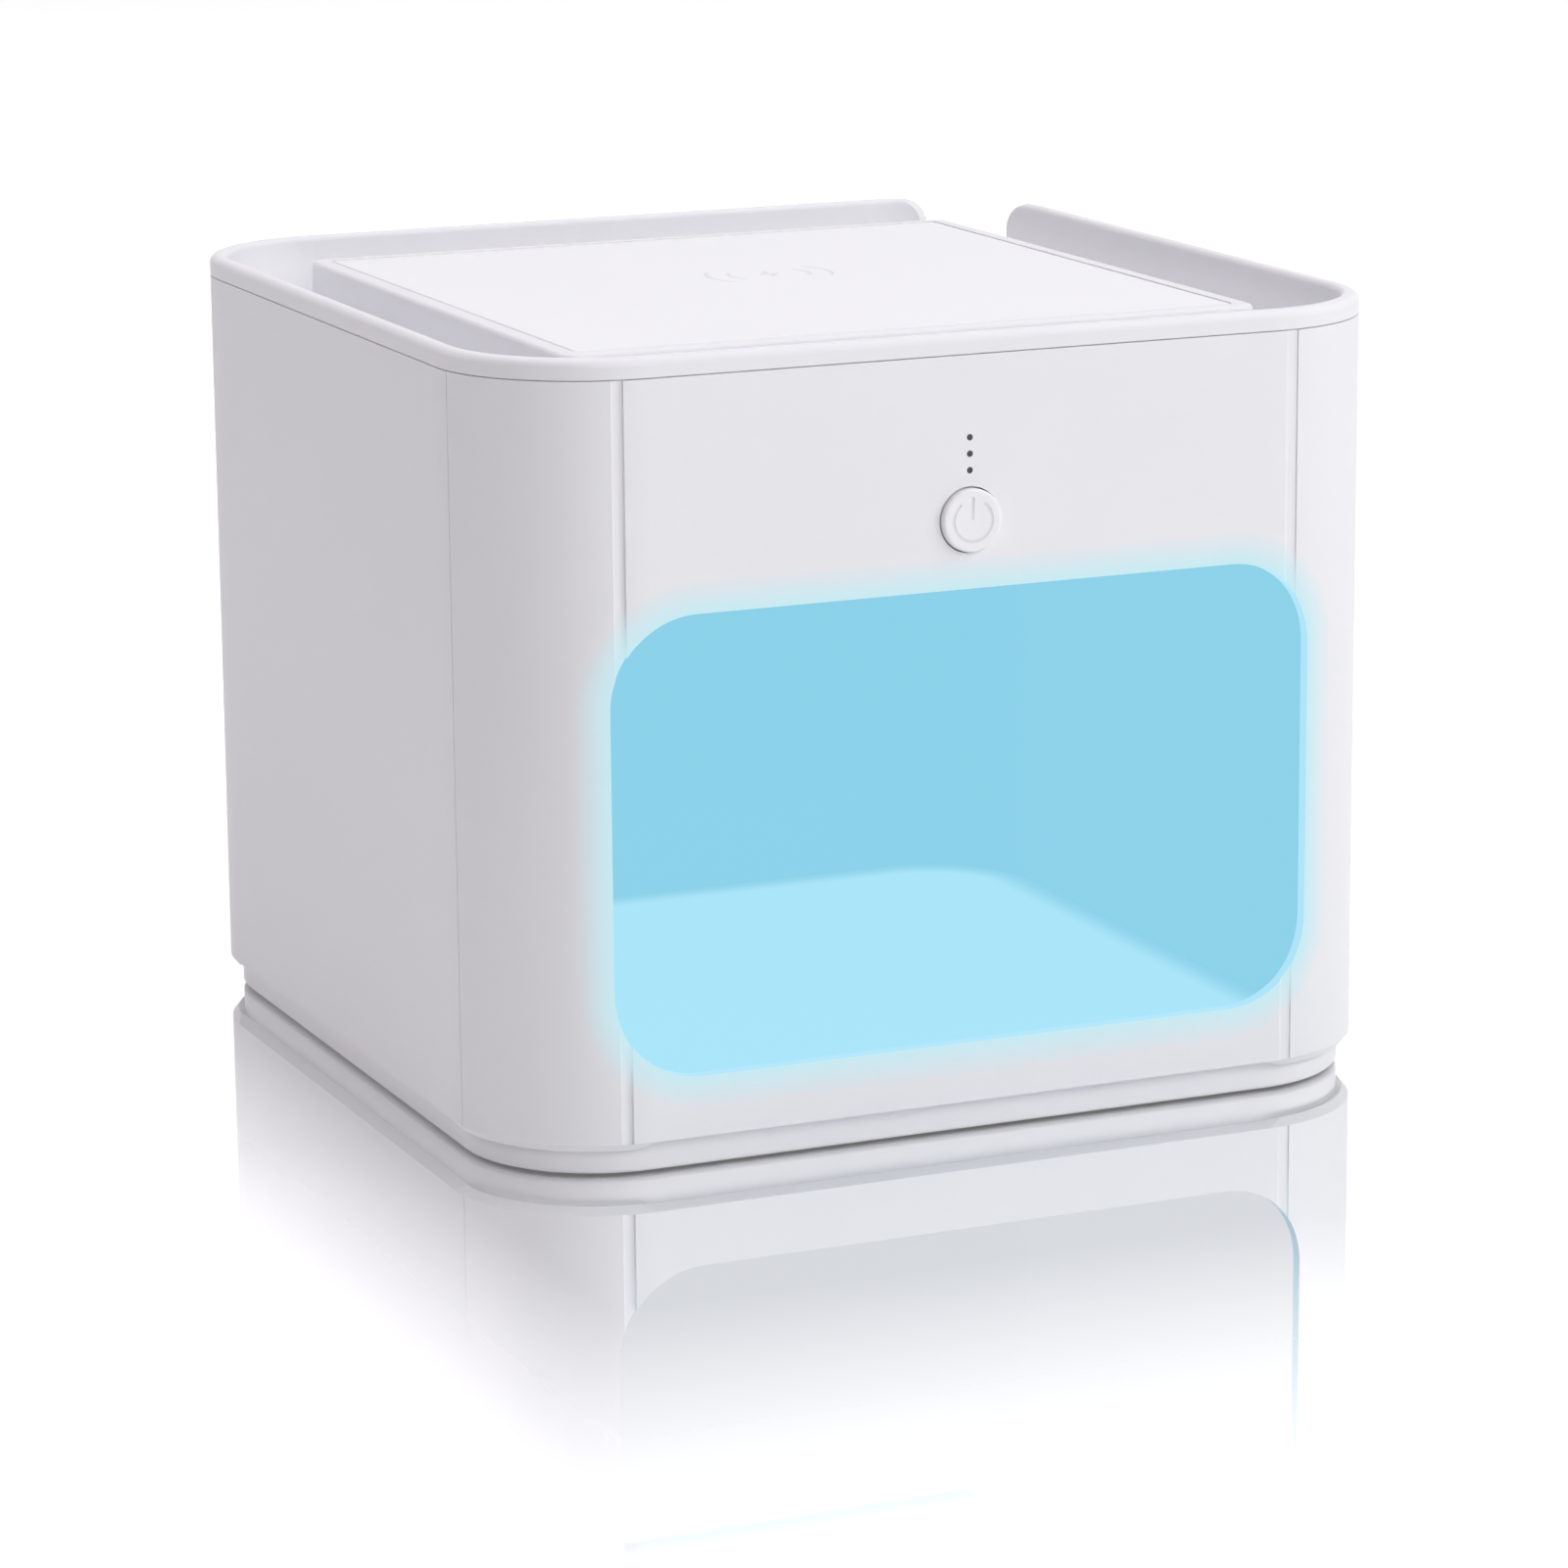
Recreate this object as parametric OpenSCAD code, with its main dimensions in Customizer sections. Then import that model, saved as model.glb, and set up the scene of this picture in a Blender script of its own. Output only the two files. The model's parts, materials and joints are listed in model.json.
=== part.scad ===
// Counter-top UV sanitizer box for phones, with a charging plate on top.
// The open chamber faces -Y. The origin is at the middle of the footprint, on the surface it stands on.

/* [Body] */
// Width of the body, left to right
body_w = 210; // [196:1:250]
// Depth of the body, front to back, without the button
body_d = 210; // [204:1:260]
// Height of the body, from the table to the top of the rim
body_h = 172; // [168:1:200]
// Radius of the upright corners
corner_r = 33; // [30:0.5:42]
// Thickness of the outer walls
wall = 2.8; // [2.4:0.1:3.4]
// Distance of the upright seams from the corner
seam_inset = 28; // [24:0.5:32]
// Width of the shadow gap at a seam
seam_gap = 0.2; // [0.15:0.05:0.8]
// Depth of the shadow gap at a seam
seam_depth = 0.8; // [0.4:0.1:1.6]
// Bevel on the two edges of a seam
seam_bevel = 0.12; // [0.05:0.01:0.4]
// Width of the shallow rebate to the left of each front seam
rebate_w = 2.2; // [1:0.1:4]
// Depth of that rebate below the corner's curve
rebate_depth = 0.3; // [0.1:0.05:0.6]
// Width of the overlap strips behind the panels
lap_w = 6; // [4:0.5:9]
// Thickness of the overlap strips
lap_t = 1.4; // [1:0.1:2]

/* [Window] */
// Width of the opening in the front
window_w = 161; // [140:1:162]
// Height of the opening's lower edge above the chamber's floor
window_sill = 4.3; // [3:0.1:9]
// Depth of the opening's upper edge below the chamber's ceiling
window_drop = 1.6; // [0.5:0.1:20]
// Corner radius of the opening
window_r = 19; // [8:0.5:30]

/* [Chamber] */
// Inner width of the chamber
chamber_w = 161; // [150:1:164]
// Distance from the chamber's back wall to the back of the body, which holds the main board
back_room = 46; // [42:1:60]
// Radius of the chamber's upright back corners
chamber_r = 26; // [10:1:40]
// Height of the chamber's floor above the panels' lower edge
floor_rise = 8.7; // [8.2:0.1:11]
// Thickness of the chamber's floor
floor_t = 2.3; // [1.6:0.1:3]
// Height of the locating edge round the chamber's floor
floor_edge_h = 2.5; // [1.5:0.1:4]
// Thickness of the locating edge round the chamber's floor
floor_edge_t = 1.7; // [1.2:0.1:2.2]
// Depth of the chamber's ceiling below the top of the rim
ceiling_drop = 52; // [52:0.5:56]
// Thickness of the chamber's walls
liner_wall = 2; // [1.4:0.1:2.2]

/* [Top] */
// Height of the rim above the top seam
rim_h = 4.4; // [3:0.1:8]
// Thickness of the rim's wall
rim_t = 4; // [3.4:0.1:6]
// Rounding of the rim's outer edge
rim_outer_r = 1.8; // [0.6:0.1:2]
// Rounding of the rim's inner edge
rim_inner_r = 1.2; // [0.4:0.1:1.4]
// Depth of the channel inside the rim, below the rim's top
channel_depth = 13.6; // [10:0.1:15]
// Thickness of the channel's floor
channel_t = 2.4; // [1.8:0.1:3]
// Width of the raised square inside the channel
plateau_w = 161; // [140:1:166]
// Depth of the raised square inside the channel
plateau_d = 161; // [140:1:166]
// Corner radius of the raised square
plateau_r = 4; // [2.5:0.5:8]
// Distance of the raised square's top below the rim's top
plateau_drop = 2.5; // [1:0.1:4]
// Wall thickness of the raised square
plateau_wall = 2.4; // [1.8:0.1:3]
// Rounding of the raised square's upper edge
plateau_round = 1; // [0.4:0.1:1.5]
// Half the width of the gap in the rim at the back right corner
gap_half_w = 11; // [6:0.5:14]
// Rounding of the rim's two ends at the gap
gap_end_r = 6.5; // [3:0.5:7]
// Height of the gap's sill above the channel's floor
gap_sill = 1.6; // [0.5:0.1:4]

/* [Charging plate] */
// Width of the border between the raised square's edge and the plate's groove
border_w = 4; // [3:0.1:8]
// Width of the groove round the plate
groove_w = 0.6; // [0.3:0.05:1]
// Thickness of the plate
plate_t = 1.6; // [1.2:0.1:2.4]
// Width of the ledge that carries the plate
ledge_w = 5; // [3:0.5:10]
// Thickness of the deck below the coil
deck_t = 2; // [1.6:0.1:3]
// Outer diameter of the charging coil
coil_d = 44; // [36:1:60]
// Inner diameter of the charging coil
coil_hole_d = 20; // [14:1:26]
// Thickness of the charging coil
coil_t = 1.7; // [1.2:0.1:2]
// Number of grooves between the coil's turns
coil_grooves = 8; // [4:1:10]
// Side of the ferrite sheet under the coil
ferrite_w = 50; // [46:1:66]
// Thickness of the ferrite sheet
ferrite_t = 0.8; // [0.5:0.1:1.2]
// Distance of the coil's centre right of the middle
coil_x = 4; // [-15:0.5:15]
// Distance of the coil's centre behind the middle
coil_y = 8; // [-15:0.5:15]

/* [Base] */
// Height that the feet lift the base off the table
foot_lift = 0.6; // [0.4:0.1:3]
// Height of the panels' lower edge above the base's underside
base_lip_h = 7; // [6:0.1:8]
// Distance that the base's lip lies inside the walls
base_lip_inset = 2.8; // [1.6:0.1:3]
// Height of the base's straight lip, below its sloping shoulder
base_lip_straight = 3.6; // [2.5:0.1:4.5]
// Rounding of the lip's lower edge
base_lip_r = 1; // [0.5:0.1:1.6]
// Thickness of the base's floor
base_t = 2.4; // [2:0.1:3]
// Height of the base's inner upstand above the panels' lower edge
upstand_h = 5; // [3:0.5:5.5]
// Thickness of the base's inner upstand
upstand_t = 1.6; // [1.2:0.1:2]
// Diameter of the feet
foot_d = 16; // [10:1:20]
// Depth of the feet's recesses
foot_recess = 1.4; // [0.8:0.1:1.6]
// Distance of the feet's centres from the walls
foot_inset = 34; // [30:1:50]
// Thickness of the ribs under the chamber's floor
rib_t = 1.8; // [1.2:0.1:3]
// Distance between those ribs
rib_pitch = 50; // [36:1:54]
// Number of vent slots under the main board
vent_count = 6; // [2:1:6]
// Width of a vent slot
vent_w = 2.5; // [1.5:0.1:4]
// Length of a vent slot
vent_l = 22; // [12:1:24]

/* [Button] */
// Diameter of the button's cap
button_d = 13.4; // [10:0.1:14]
// Depth of the button's centre below the top of the rim
button_drop = 39; // [36:0.5:39.5]
// Distance that the cap stands proud of the front
button_proud = 1.6; // [1.2:0.1:3]
// Rounding of the cap's edge
button_edge_r = 1.3; // [0.5:0.1:1.4]
// Diameter of the dish in the cap
dish_d = 10.4; // [6:0.1:10.6]
// Depth of the dish in the cap
dish_depth = 0.5; // [0.2:0.05:0.8]
// Gap between the cap and its hole
button_gap = 0.3; // [0.25:0.05:0.6]
// Distance that the button travels
button_travel = 1; // [0.5:0.1:1.1]
// Width of the cap's retaining flange
flange_w = 1.3; // [1:0.1:1.4]
// Thickness of the cap's retaining flange
flange_t = 1.5; // [1:0.1:2]
// Wall thickness of the tube that guides the flange
guide_wall = 1.2; // [1:0.1:1.3]
// Length of the tube that guides the flange
guide_l = 6; // [4:0.5:8]
// Diameter of the button's stem
stem_d = 5; // [4:0.1:6]
// Wire thickness of the button's return spring
spring_wire = 0.7; // [0.5:0.05:0.9]
// Number of turns of the button's return spring
spring_turns = 6; // [4:1:8]

/* [Indicators] */
// Number of indicator lights
light_count = 3; // [1:1:3]
// Height of the lowest indicator light above the button's centre
light_rise = 10.4; // [10.2:0.1:13]
// Distance between indicator lights
light_pitch = 3.45; // [2.5:0.05:4]
// Diameter of an indicator light's tip
light_d = 1.2; // [0.8:0.1:1.6]
// Gap round an indicator light's tip
light_gap = 0.1; // [0.05:0.05:0.2]

/* [Boards] */
// Thickness of the circuit boards
board_t = 1.6; // [1:0.1:2]
// Distance from the front panel's back to the control board
control_stand = 18; // [16:0.5:22]
// Width of the control board
control_w = 40; // [36:1:60]
// Height of the control board
control_h = 31; // [29:1:31]
// Width of the lamp board
lamp_w = 120; // [112:1:140]
// Depth of the lamp board
lamp_d = 56; // [52:1:70]
// Distance of the lamp board's centre in front of the middle
lamp_y = 20; // [0:1:30]
// Height of the lamp board above the ceiling's top
lamp_stand = 6; // [4:0.5:8]
// Number of lamps across
lamp_cols = 4; // [2:1:6]
// Number of lamp rows
lamp_rows = 2; // [1:1:3]
// Width of the lamp window's opening
lens_w = 96; // [80:1:98]
// Depth of the lamp window's opening
lens_d = 36; // [24:1:38]
// Thickness of the lamp window
lens_t = 1.2; // [0.8:0.1:1.4]
// Width of the charger board
charger_w = 46; // [36:1:60]
// Depth of the charger board
charger_d = 30; // [24:1:40]
// Height of the stand-offs under the deck
charger_stand = 5; // [3:0.5:6]
// Width of the main board
main_w = 70; // [60:1:90]
// Depth of the main board
main_d = 34; // [30:1:34]
// Height of the stand-offs under the main board
main_stand = 9; // [6:0.5:12]

/* [Inlet] */
// Width of the power socket's shell
inlet_w = 8.9; // [8:0.1:10]
// Height of the power socket's shell
inlet_h = 3.2; // [3:0.1:4]
// Length of the power socket
inlet_l = 7.4; // [6:0.1:10]
// Wall thickness of the power socket's shell
inlet_wall = 0.3; // [0.2:0.05:0.5]
// Gap between the socket and its hole
inlet_gap = 0.25; // [0.15:0.05:0.5]
// Width of the plug's recess round the hole
plug_w = 13; // [11:0.5:16]
// Height of the plug's recess round the hole
plug_h = 7; // [6:0.5:9]
// Depth of the plug's recess
plug_depth = 1.2; // [0.5:0.1:1.6]

/* [Fasteners] */
// Shank diameter of the housing screws
case_screw_d = 3; // [2.5:0.1:3.5]
// Length of the housing screws
case_screw_l = 10; // [8:0.5:12]
// Head diameter of the housing screws
case_head_d = 5.6; // [5:0.1:6.5]
// Head height of the housing screws
case_head_h = 1.8; // [1.4:0.1:2.2]
// Outer diameter of the housing's screw posts
case_boss_d = 9; // [8:0.1:9.4]
// Shank diameter of the board screws
board_screw_d = 2; // [1.6:0.1:2.3]
// Length of the board screws
board_screw_l = 5; // [4:0.5:6]
// Head diameter of the board screws
board_head_d = 3.8; // [3.4:0.1:4.4]
// Head height of the board screws
board_head_h = 1.3; // [1:0.1:1.6]
// Outer diameter of the boards' stand-offs
board_boss_d = 5; // [4.4:0.1:6]
// Distance of a board's screws from its edges
board_screw_inset = 4; // [3:0.5:5]

/* [Hidden] */
$fn = 64;

white = "#ececf0";
board_green = "#2f6b45";
steel = "#8d9095";

// Gaps between pieces that seat, pieces that touch lightly, and round a screw's thread
fit = 0.25;
slip = 0.1;
thread_gap = 0.05;
// Play of a screw in its hole, round its head and past its tip
screw_play = 0.4;
head_gap = 0.4;
tip_gap = 0.3;
// How far a cut runs past a face, and how far shapes of one piece reach into each other
over = 1;
join = 0.1;
// Shortest straight stretch between two arcs of an outline
least_flat = 0.01;

lens_ledge = 3;
lens_r = 3;
vent_pitch = 9;
pilot_r = case_screw_d / 2 + thread_gap;
board_pilot_r = board_screw_d / 2 + thread_gap;
arc_x = body_w / 2 - corner_r;
arc_y = body_d / 2 - corner_r;

front = -body_d / 2;
back = body_d / 2;
seam_z = body_h - rim_h;
shell_low = foot_lift + base_lip_h;
floor_z = shell_low + floor_rise;
ceiling_z = body_h - ceiling_drop;
chamber_depth = body_d - back_room;
window_low = floor_z + window_sill;
window_high = ceiling_z - window_drop;
button_z = body_h - button_drop;
light_z = button_z + light_rise;
inner_w = body_w - 2 * wall;
inner_d = body_d - 2 * wall;
inner_r = corner_r - wall;
floor_top = foot_lift + base_t;
upstand_top = shell_low + upstand_h;
lap_gap_low = 0.5;
lap_gap_high = 1;
lap_low = upstand_top + lap_gap_low;
channel_z = body_h - channel_depth;
tray_under = channel_z - channel_t;
lap_high = tray_under - lap_gap_high;
plateau_top = body_h - plateau_drop;
ledge_z = plateau_top - plate_t;
coil_gap = 0.3;
coil_top = ledge_z - coil_gap;
deck_top = coil_top - coil_t - ferrite_t;
deck_under = deck_top - deck_t;
liner_top = ceiling_z + liner_wall;
window_h = window_high - window_low;
recess_w = plateau_w - 2 * border_w;
recess_d = plateau_d - 2 * border_w;
recess_r = max(plateau_r - border_w, 1.2);

// Housing screws at the four corners
screw_in = 17;
corner_x = body_w / 2 - screw_in;
corner_y = body_d / 2 - screw_in;
case_hole_d = case_screw_d + screw_play;
head_seat = foot_lift + case_head_h + head_gap;
head_hole_d = case_head_d + 2 * head_gap;
base_boss_wall = 1.8;
base_boss_d = head_hole_d + 2 * base_boss_wall;
seat_t = 5;
post_foot = head_seat + seat_t;
post_foot_h = 28;
tab_t = 3;
tab_drop = 6;
tab_top = tray_under - tab_drop;
tab_reach = 8;

// Ears of the chamber's lining
ear_x = chamber_w / 2 + liner_wall + slip + floor_edge_t + fit + case_boss_d / 2;
ear_setback = 45;
ear_front = front + ear_setback;
ear_back = front + chamber_depth - chamber_r - case_boss_d / 2;
ear_z = floor_z + floor_edge_h;
ear_t = 3;

// Button, seen from the front of the panel backwards
cap_r = button_d / 2;
hole_r = cap_r + button_gap;
flange_r = cap_r + flange_w;
guide_r = flange_r + fit;
flange_y = front + wall + slip;
flange_back = flange_y + flange_t;
board_y = front + wall + control_stand;
switch_w = 12;
switch_h = 4.5;
switch_y = board_y - switch_h;
plunger_r = 1.6;
plunger_gap = 0.1;
plunger_in = 0.8;
plunger_l = 4.5;
plunger_y = switch_y + plunger_in - plunger_l;
plunger_end_gap = 0.4;
socket_depth = plunger_in + button_travel + plunger_end_gap;
spring_r = 4.2;
control_drop = 8.5;
control_low = button_z - control_drop;
control_mid = control_low + control_h / 2;
light_sunk = 0.3;
light_bar_t = 1.5;
light_bar_w = 3;
light_bar_edge = 0.6;
led_w = 1.6;
led_h = 1;
led_t = 0.8;
led_gap = 0.4;
light_back = board_y - led_t - led_gap;

// Main board behind the chamber, low down
inlet_set_back = 1.5;
main_z = floor_top + main_stand;
main_y = back - wall - fit - upstand_t - fit - main_d / 2;
inlet_z = main_z + board_t + inlet_h / 2;
inlet_y = back - inlet_set_back - inlet_l;

// Stand-offs and screws of a board, from its centre
function board_spots(w, d) = [for (sx = [-1, 1], sy = [-1, 1])
    [sx * (w / 2 - board_screw_inset), sy * (d / 2 - board_screw_inset)]];

// Places of the housing screws: x, y, height of the head's seat, 1 for a head below
case_spots = concat(
    [for (sx = [-1, 1], sy = [-1, 1]) [sx * corner_x, sy * corner_y, head_seat, 1]],
    [for (sx = [-1, 1], sy = [-1, 1]) [sx * corner_x, sy * corner_y, tab_top - tab_t, 1]],
    [for (sx = [-1, 1], y = [ear_front, ear_back]) [sx * ear_x, y, ear_z + ear_t, 0]]);

lamp_z = liner_top + lamp_stand;
charger_z = deck_under - charger_stand - board_t;
charger_x = -46;
charger_y = 30;

// Sockets on the boards, and the wires' routes from one to the other
header_l = 8;
header_t = 6;
header_h = 5;
header_back = 3.5;
charger_header_back = 6;
control_header_up = 5;
header_y = main_y - header_back;
charger_header_y = charger_y + charger_header_back;
control_header_z = button_z + control_header_up;
main_header_top = main_z + board_t + header_h;
lamp_header_top = lamp_z + board_t + header_h;
charger_header_low = charger_z - header_h;
control_header_back = board_y + board_t + header_h;
wire_r = 1.5;
knuckle = 0.05;
lamp_wire_up = 7.4;
charger_wire_down = 3.5;
lamp_wire_z = lamp_header_top + lamp_wire_up;
charger_wire_z = charger_header_low - charger_wire_down;
lamp_plug = [-20, -6];
lamp_route = [[lamp_plug[0], header_y, main_header_top], [lamp_plug[0], header_y, lamp_wire_z],
    [lamp_plug[0], lamp_plug[1], lamp_wire_z], [lamp_plug[0], lamp_plug[1], lamp_header_top]];
charger_route = [[-4, header_y, main_header_top], [-4, header_y, charger_wire_z],
    [charger_x, header_y, charger_wire_z], [charger_x, charger_header_y, charger_wire_z],
    [charger_x, charger_header_y, charger_header_low]];
control_route = [[12, header_y, main_header_top], [12, header_y, control_header_z],
    [12, control_header_back, control_header_z]];

// The coil's leads, through the deck to their pads in a corner of the charger board
lead_r = 0.5;
lead_hole_d = 4;
lead_hole_x = coil_x - ferrite_w / 2 - lead_hole_d / 2;
lead_pitch = 1.8;
lead_z = coil_top - coil_t / 2;
lead_low = deck_under - charger_stand / 2;
lead_pads = [14, 5];
lead_end_x = charger_x + charger_w / 2 - lead_pads[0];
lead_end_y = charger_y - charger_d / 2 + lead_pads[1];

// Sets the body back by half of what the button stands proud, so that the whole is centred
module place() {
    translate([0, button_proud / 2, 0]) children();
}

// A rectangle with round corners, as a flat outline
module rounded_rect(w, d, r) {
    square([w - 2 * r, d], center = true);
    square([w, d - 2 * r], center = true);
    for (sx = [-1, 1], sy = [-1, 1]) translate([sx * (w / 2 - r), sy * (d / 2 - r)]) circle(r = r);
}

module prism(w, d, r, z0, z1) {
    translate([0, 0, z0]) linear_extrude(height = z1 - z0) rounded_rect(w, d, r);
}

// Sweeps an outline round a rounded rectangle: its x runs outwards from the edge, its y upwards
module around(w, d, r) {
    for (turn = [0, 180]) rotate([0, 0, turn]) {
        translate([w / 2, d / 2 - r, 0]) rotate([90, 0, 0])
            linear_extrude(height = d - 2 * r) children();
        translate([r - w / 2, d / 2, 0]) rotate([90, 0, 90])
            linear_extrude(height = w - 2 * r) children();
        translate([w / 2 - r, d / 2 - r, 0])
            rotate_extrude(angle = 90) translate([r, 0]) children();
        translate([r - w / 2, d / 2 - r, 0]) rotate([0, 0, 90])
            rotate_extrude(angle = 90) translate([r, 0]) children();
    }
}

// Rounds an outer edge at the height z, as a cutter
module outer_round(w, d, r, z, fillet) {
    around(w, d, r) translate([-fillet, z - fillet]) difference() {
        square(fillet + over);
        circle(r = fillet);
    }
}

// Rounds the upper edge of a hole at the height z, as a cutter
module inner_round(w, d, r, z, fillet) {
    around(w, d, r) translate([fillet, z - fillet]) difference() {
        translate([-fillet - over, 0]) square(fillet + over);
        circle(r = fillet);
    }
}

// The shadow gap's section, with its small bevels
module groove_outline() {
    bevel = seam_gap / 2 + seam_bevel;
    translate([-seam_depth, -seam_gap / 2]) square([seam_depth + over, seam_gap]);
    polygon([[-bevel, 0], [over, -bevel - over], [over, bevel + over]]);
}

// How far the body's corner has curved back from the front at a distance from the middle
function curved_back(x) = let (past = max(abs(x) - arc_x, 0))
    corner_r - sqrt(pow(corner_r, 2) - pow(past, 2));

// Shallow rebate to the left of the left or the right front seam, with a sloping left side
module front_rebate(sx) {
    seam_x = sx * (body_w / 2 - seam_inset);
    deep = max(curved_back(seam_x), curved_back(seam_x - rebate_w)) + rebate_depth;
    translate([seam_x, front, shell_low - over]) linear_extrude(height = seam_z - shell_low + over)
        polygon([[over, -over], [over, deep], [-rebate_w, deep], [-rebate_w - deep - over, -over]]);
}

module ring_groove(z) {
    around(body_w, body_d, corner_r) translate([0, z]) groove_outline();
}

module upright_grooves() {
    translate([0, 0, shell_low - over]) linear_extrude(height = seam_z - shell_low + 2 * over)
        for (sx = [-1, 1], sy = [-1, 1]) {
            translate([sx * (body_w / 2 - seam_inset), sy * back]) rotate(90 * sy) groove_outline();
            translate([sx * body_w / 2, sy * (back - seam_inset)]) rotate(90 - 90 * sx) groove_outline();
        }
}

// Mirrors a shape made for the back right corner into another corner
module in_corner(sx, sy) {
    mirror([sx < 0 ? 1 : 0, 0, 0]) mirror([0, sy < 0 ? 1 : 0, 0]) children();
}

module block(x0, y0, z0, x1, y1, z1) {
    translate([x0, y0, z0]) cube([x1 - x0, y1 - y0, z1 - z0]);
}

// The space inside the outer walls, grown or shrunk
module core(grow, z0, z1) {
    prism(inner_w + 2 * grow, inner_d + 2 * grow, inner_r + grow, z0, z1);
}

module shell_ring() {
    difference() {
        prism(body_w, body_d, corner_r, shell_low, seam_z);
        core(0, shell_low - over, seam_z + over);
    }
}

module window_cut() {
    translate([0, front - over, window_low + window_h / 2]) rotate([-90, 0, 0])
        linear_extrude(height = wall + lap_t + 2 * over) rounded_rect(window_w, window_h, window_r);
}

// The open corner of the rim, which runs out along the diagonal
module gap_cut() {
    sill = channel_z + gap_sill;
    reach = gap_half_w + gap_end_r;
    translate([arc_x, arc_y, 0]) rotate([0, 0, 45]) translate([corner_r / 2, 0, 0])
        rotate([90, 0, 90]) linear_extrude(height = corner_r) {
            translate([-gap_half_w, sill]) square([2 * gap_half_w, body_h - sill + over]);
            difference() {
                translate([-reach, body_h - gap_end_r]) square([2 * reach, gap_end_r + over]);
                for (s = [-1, 1]) translate([s * reach, body_h - gap_end_r]) circle(r = gap_end_r);
            }
        }
}

// Strips behind the edges of the two panels next to the back right corner
module lap_strips(back_low) {
    seam_x = body_w / 2 - seam_inset;
    seam_y = back - seam_inset;
    deep_x = inner_w / 2 - lap_t;
    deep_y = inner_d / 2 - lap_t;
    root = 3;
    intersection() {
        union() {
            block(seam_x - lap_w, deep_y, back_low, seam_x, back, lap_high);
            block(deep_x, seam_y - lap_w, lap_low, body_w / 2, seam_y, lap_high);
        }
        core(-slip, lap_low, lap_high);
    }
    intersection() {
        union() {
            block(seam_x, deep_y, back_low, seam_x + root, back, lap_high);
            block(deep_x, seam_y, lap_low, body_w / 2, seam_y + root, lap_high);
        }
        core(wall / 2, lap_low, lap_high);
    }
}

// A corner post, made for the back right corner
module post_body(back_low) {
    web_l = inner_r + wall / 2 - norm([corner_x - arc_x, corner_y - arc_y]);
    web_t = 2.4;
    column_top = post_foot + post_foot_h;
    intersection() {
        block(body_w / 2 - seam_inset, back - seam_inset, 0, body_w, body_d, body_h);
        shell_ring();
    }
    translate([corner_x, corner_y, post_foot]) cylinder(d = case_boss_d, h = post_foot_h);
    translate([corner_x, corner_y, upstand_top + fit]) rotate([0, 0, 45])
        block(0, -web_t / 2, 0, web_l, web_t / 2, column_top - upstand_top - fit);
    intersection() {
        block(corner_x - tab_reach, corner_y - tab_reach, tab_top - tab_t, body_w, body_d, tab_top);
        core(wall / 2, tab_top - tab_t, tab_top);
    }
    lap_strips(back_low);
}

module corner_post(sx, sy) {
    color(white) place() difference() {
        in_corner(sx, sy) post_body(sy < 0 ? liner_top + 1 : lap_low);
        translate([sx * corner_x, sy * corner_y, post_foot - over])
            cylinder(r = pilot_r, h = case_screw_l + over);
        translate([sx * corner_x, sy * corner_y, tab_top - tab_t - over])
            cylinder(d = case_hole_d, h = tab_t + 2 * over);
        upright_grooves();
        ring_groove(seam_z);
        if (sx < 0 && sy < 0) front_rebate(sx);
        if (sy < 0) window_cut();
        if (sx > 0 && sy > 0) gap_cut();
    }
}

module front_left_post() {
    corner_post(-1, -1);
}

module front_right_post() {
    corner_post(1, -1);
}

module back_left_post() {
    corner_post(-1, 1);
}

module back_right_post() {
    corner_post(1, 1);
}

// The flat part of one wall, between two upright seams
module wall_panel(side) {
    seam_x = body_w / 2 - seam_inset;
    seam_y = back - seam_inset;
    intersection() {
        shell_ring();
        if (side == "front") block(-seam_x, -body_d, 0, seam_x, -seam_y, body_h);
        if (side == "back") block(-seam_x, seam_y, 0, seam_x, body_d, body_h);
        if (side == "left") block(-body_w, -seam_y, 0, -seam_x, seam_y, body_h);
        if (side == "right") block(seam_x, -seam_y, 0, body_w, seam_y, body_h);
    }
}

module panel_grooves() {
    upright_grooves();
    ring_groove(seam_z);
}

module left_panel() {
    color(white) place() difference() {
        wall_panel("left");
        panel_grooves();
    }
}

module right_panel() {
    color(white) place() difference() {
        wall_panel("right");
        panel_grooves();
    }
}

module back_panel() {
    color(white) place() difference() {
        wall_panel("back");
        panel_grooves();
        backwards(back - wall - over, inlet_z) linear_extrude(height = wall + 2 * over)
            rounded_rect(inlet_w + 2 * inlet_gap, inlet_h + 2 * inlet_gap, inlet_h / 2);
        backwards(back - plug_depth, inlet_z) linear_extrude(height = plug_depth + over)
            rounded_rect(plug_w, plug_h, plug_h / 2 - least_flat);
    }
}

// Turns a shape drawn upwards so that it points from the front to the back
module backwards(y, z, x = 0) {
    translate([x, y, z]) rotate([-90, 0, 0]) children();
}

module front_lower_panel() {
    color(white) place() difference() {
        intersection() {
            wall_panel("front");
            block(-body_w, -body_d, 0, body_w, body_d, window_low + window_h / 2);
        }
        panel_grooves();
        front_rebate(1);
        window_cut();
    }
}

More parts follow.
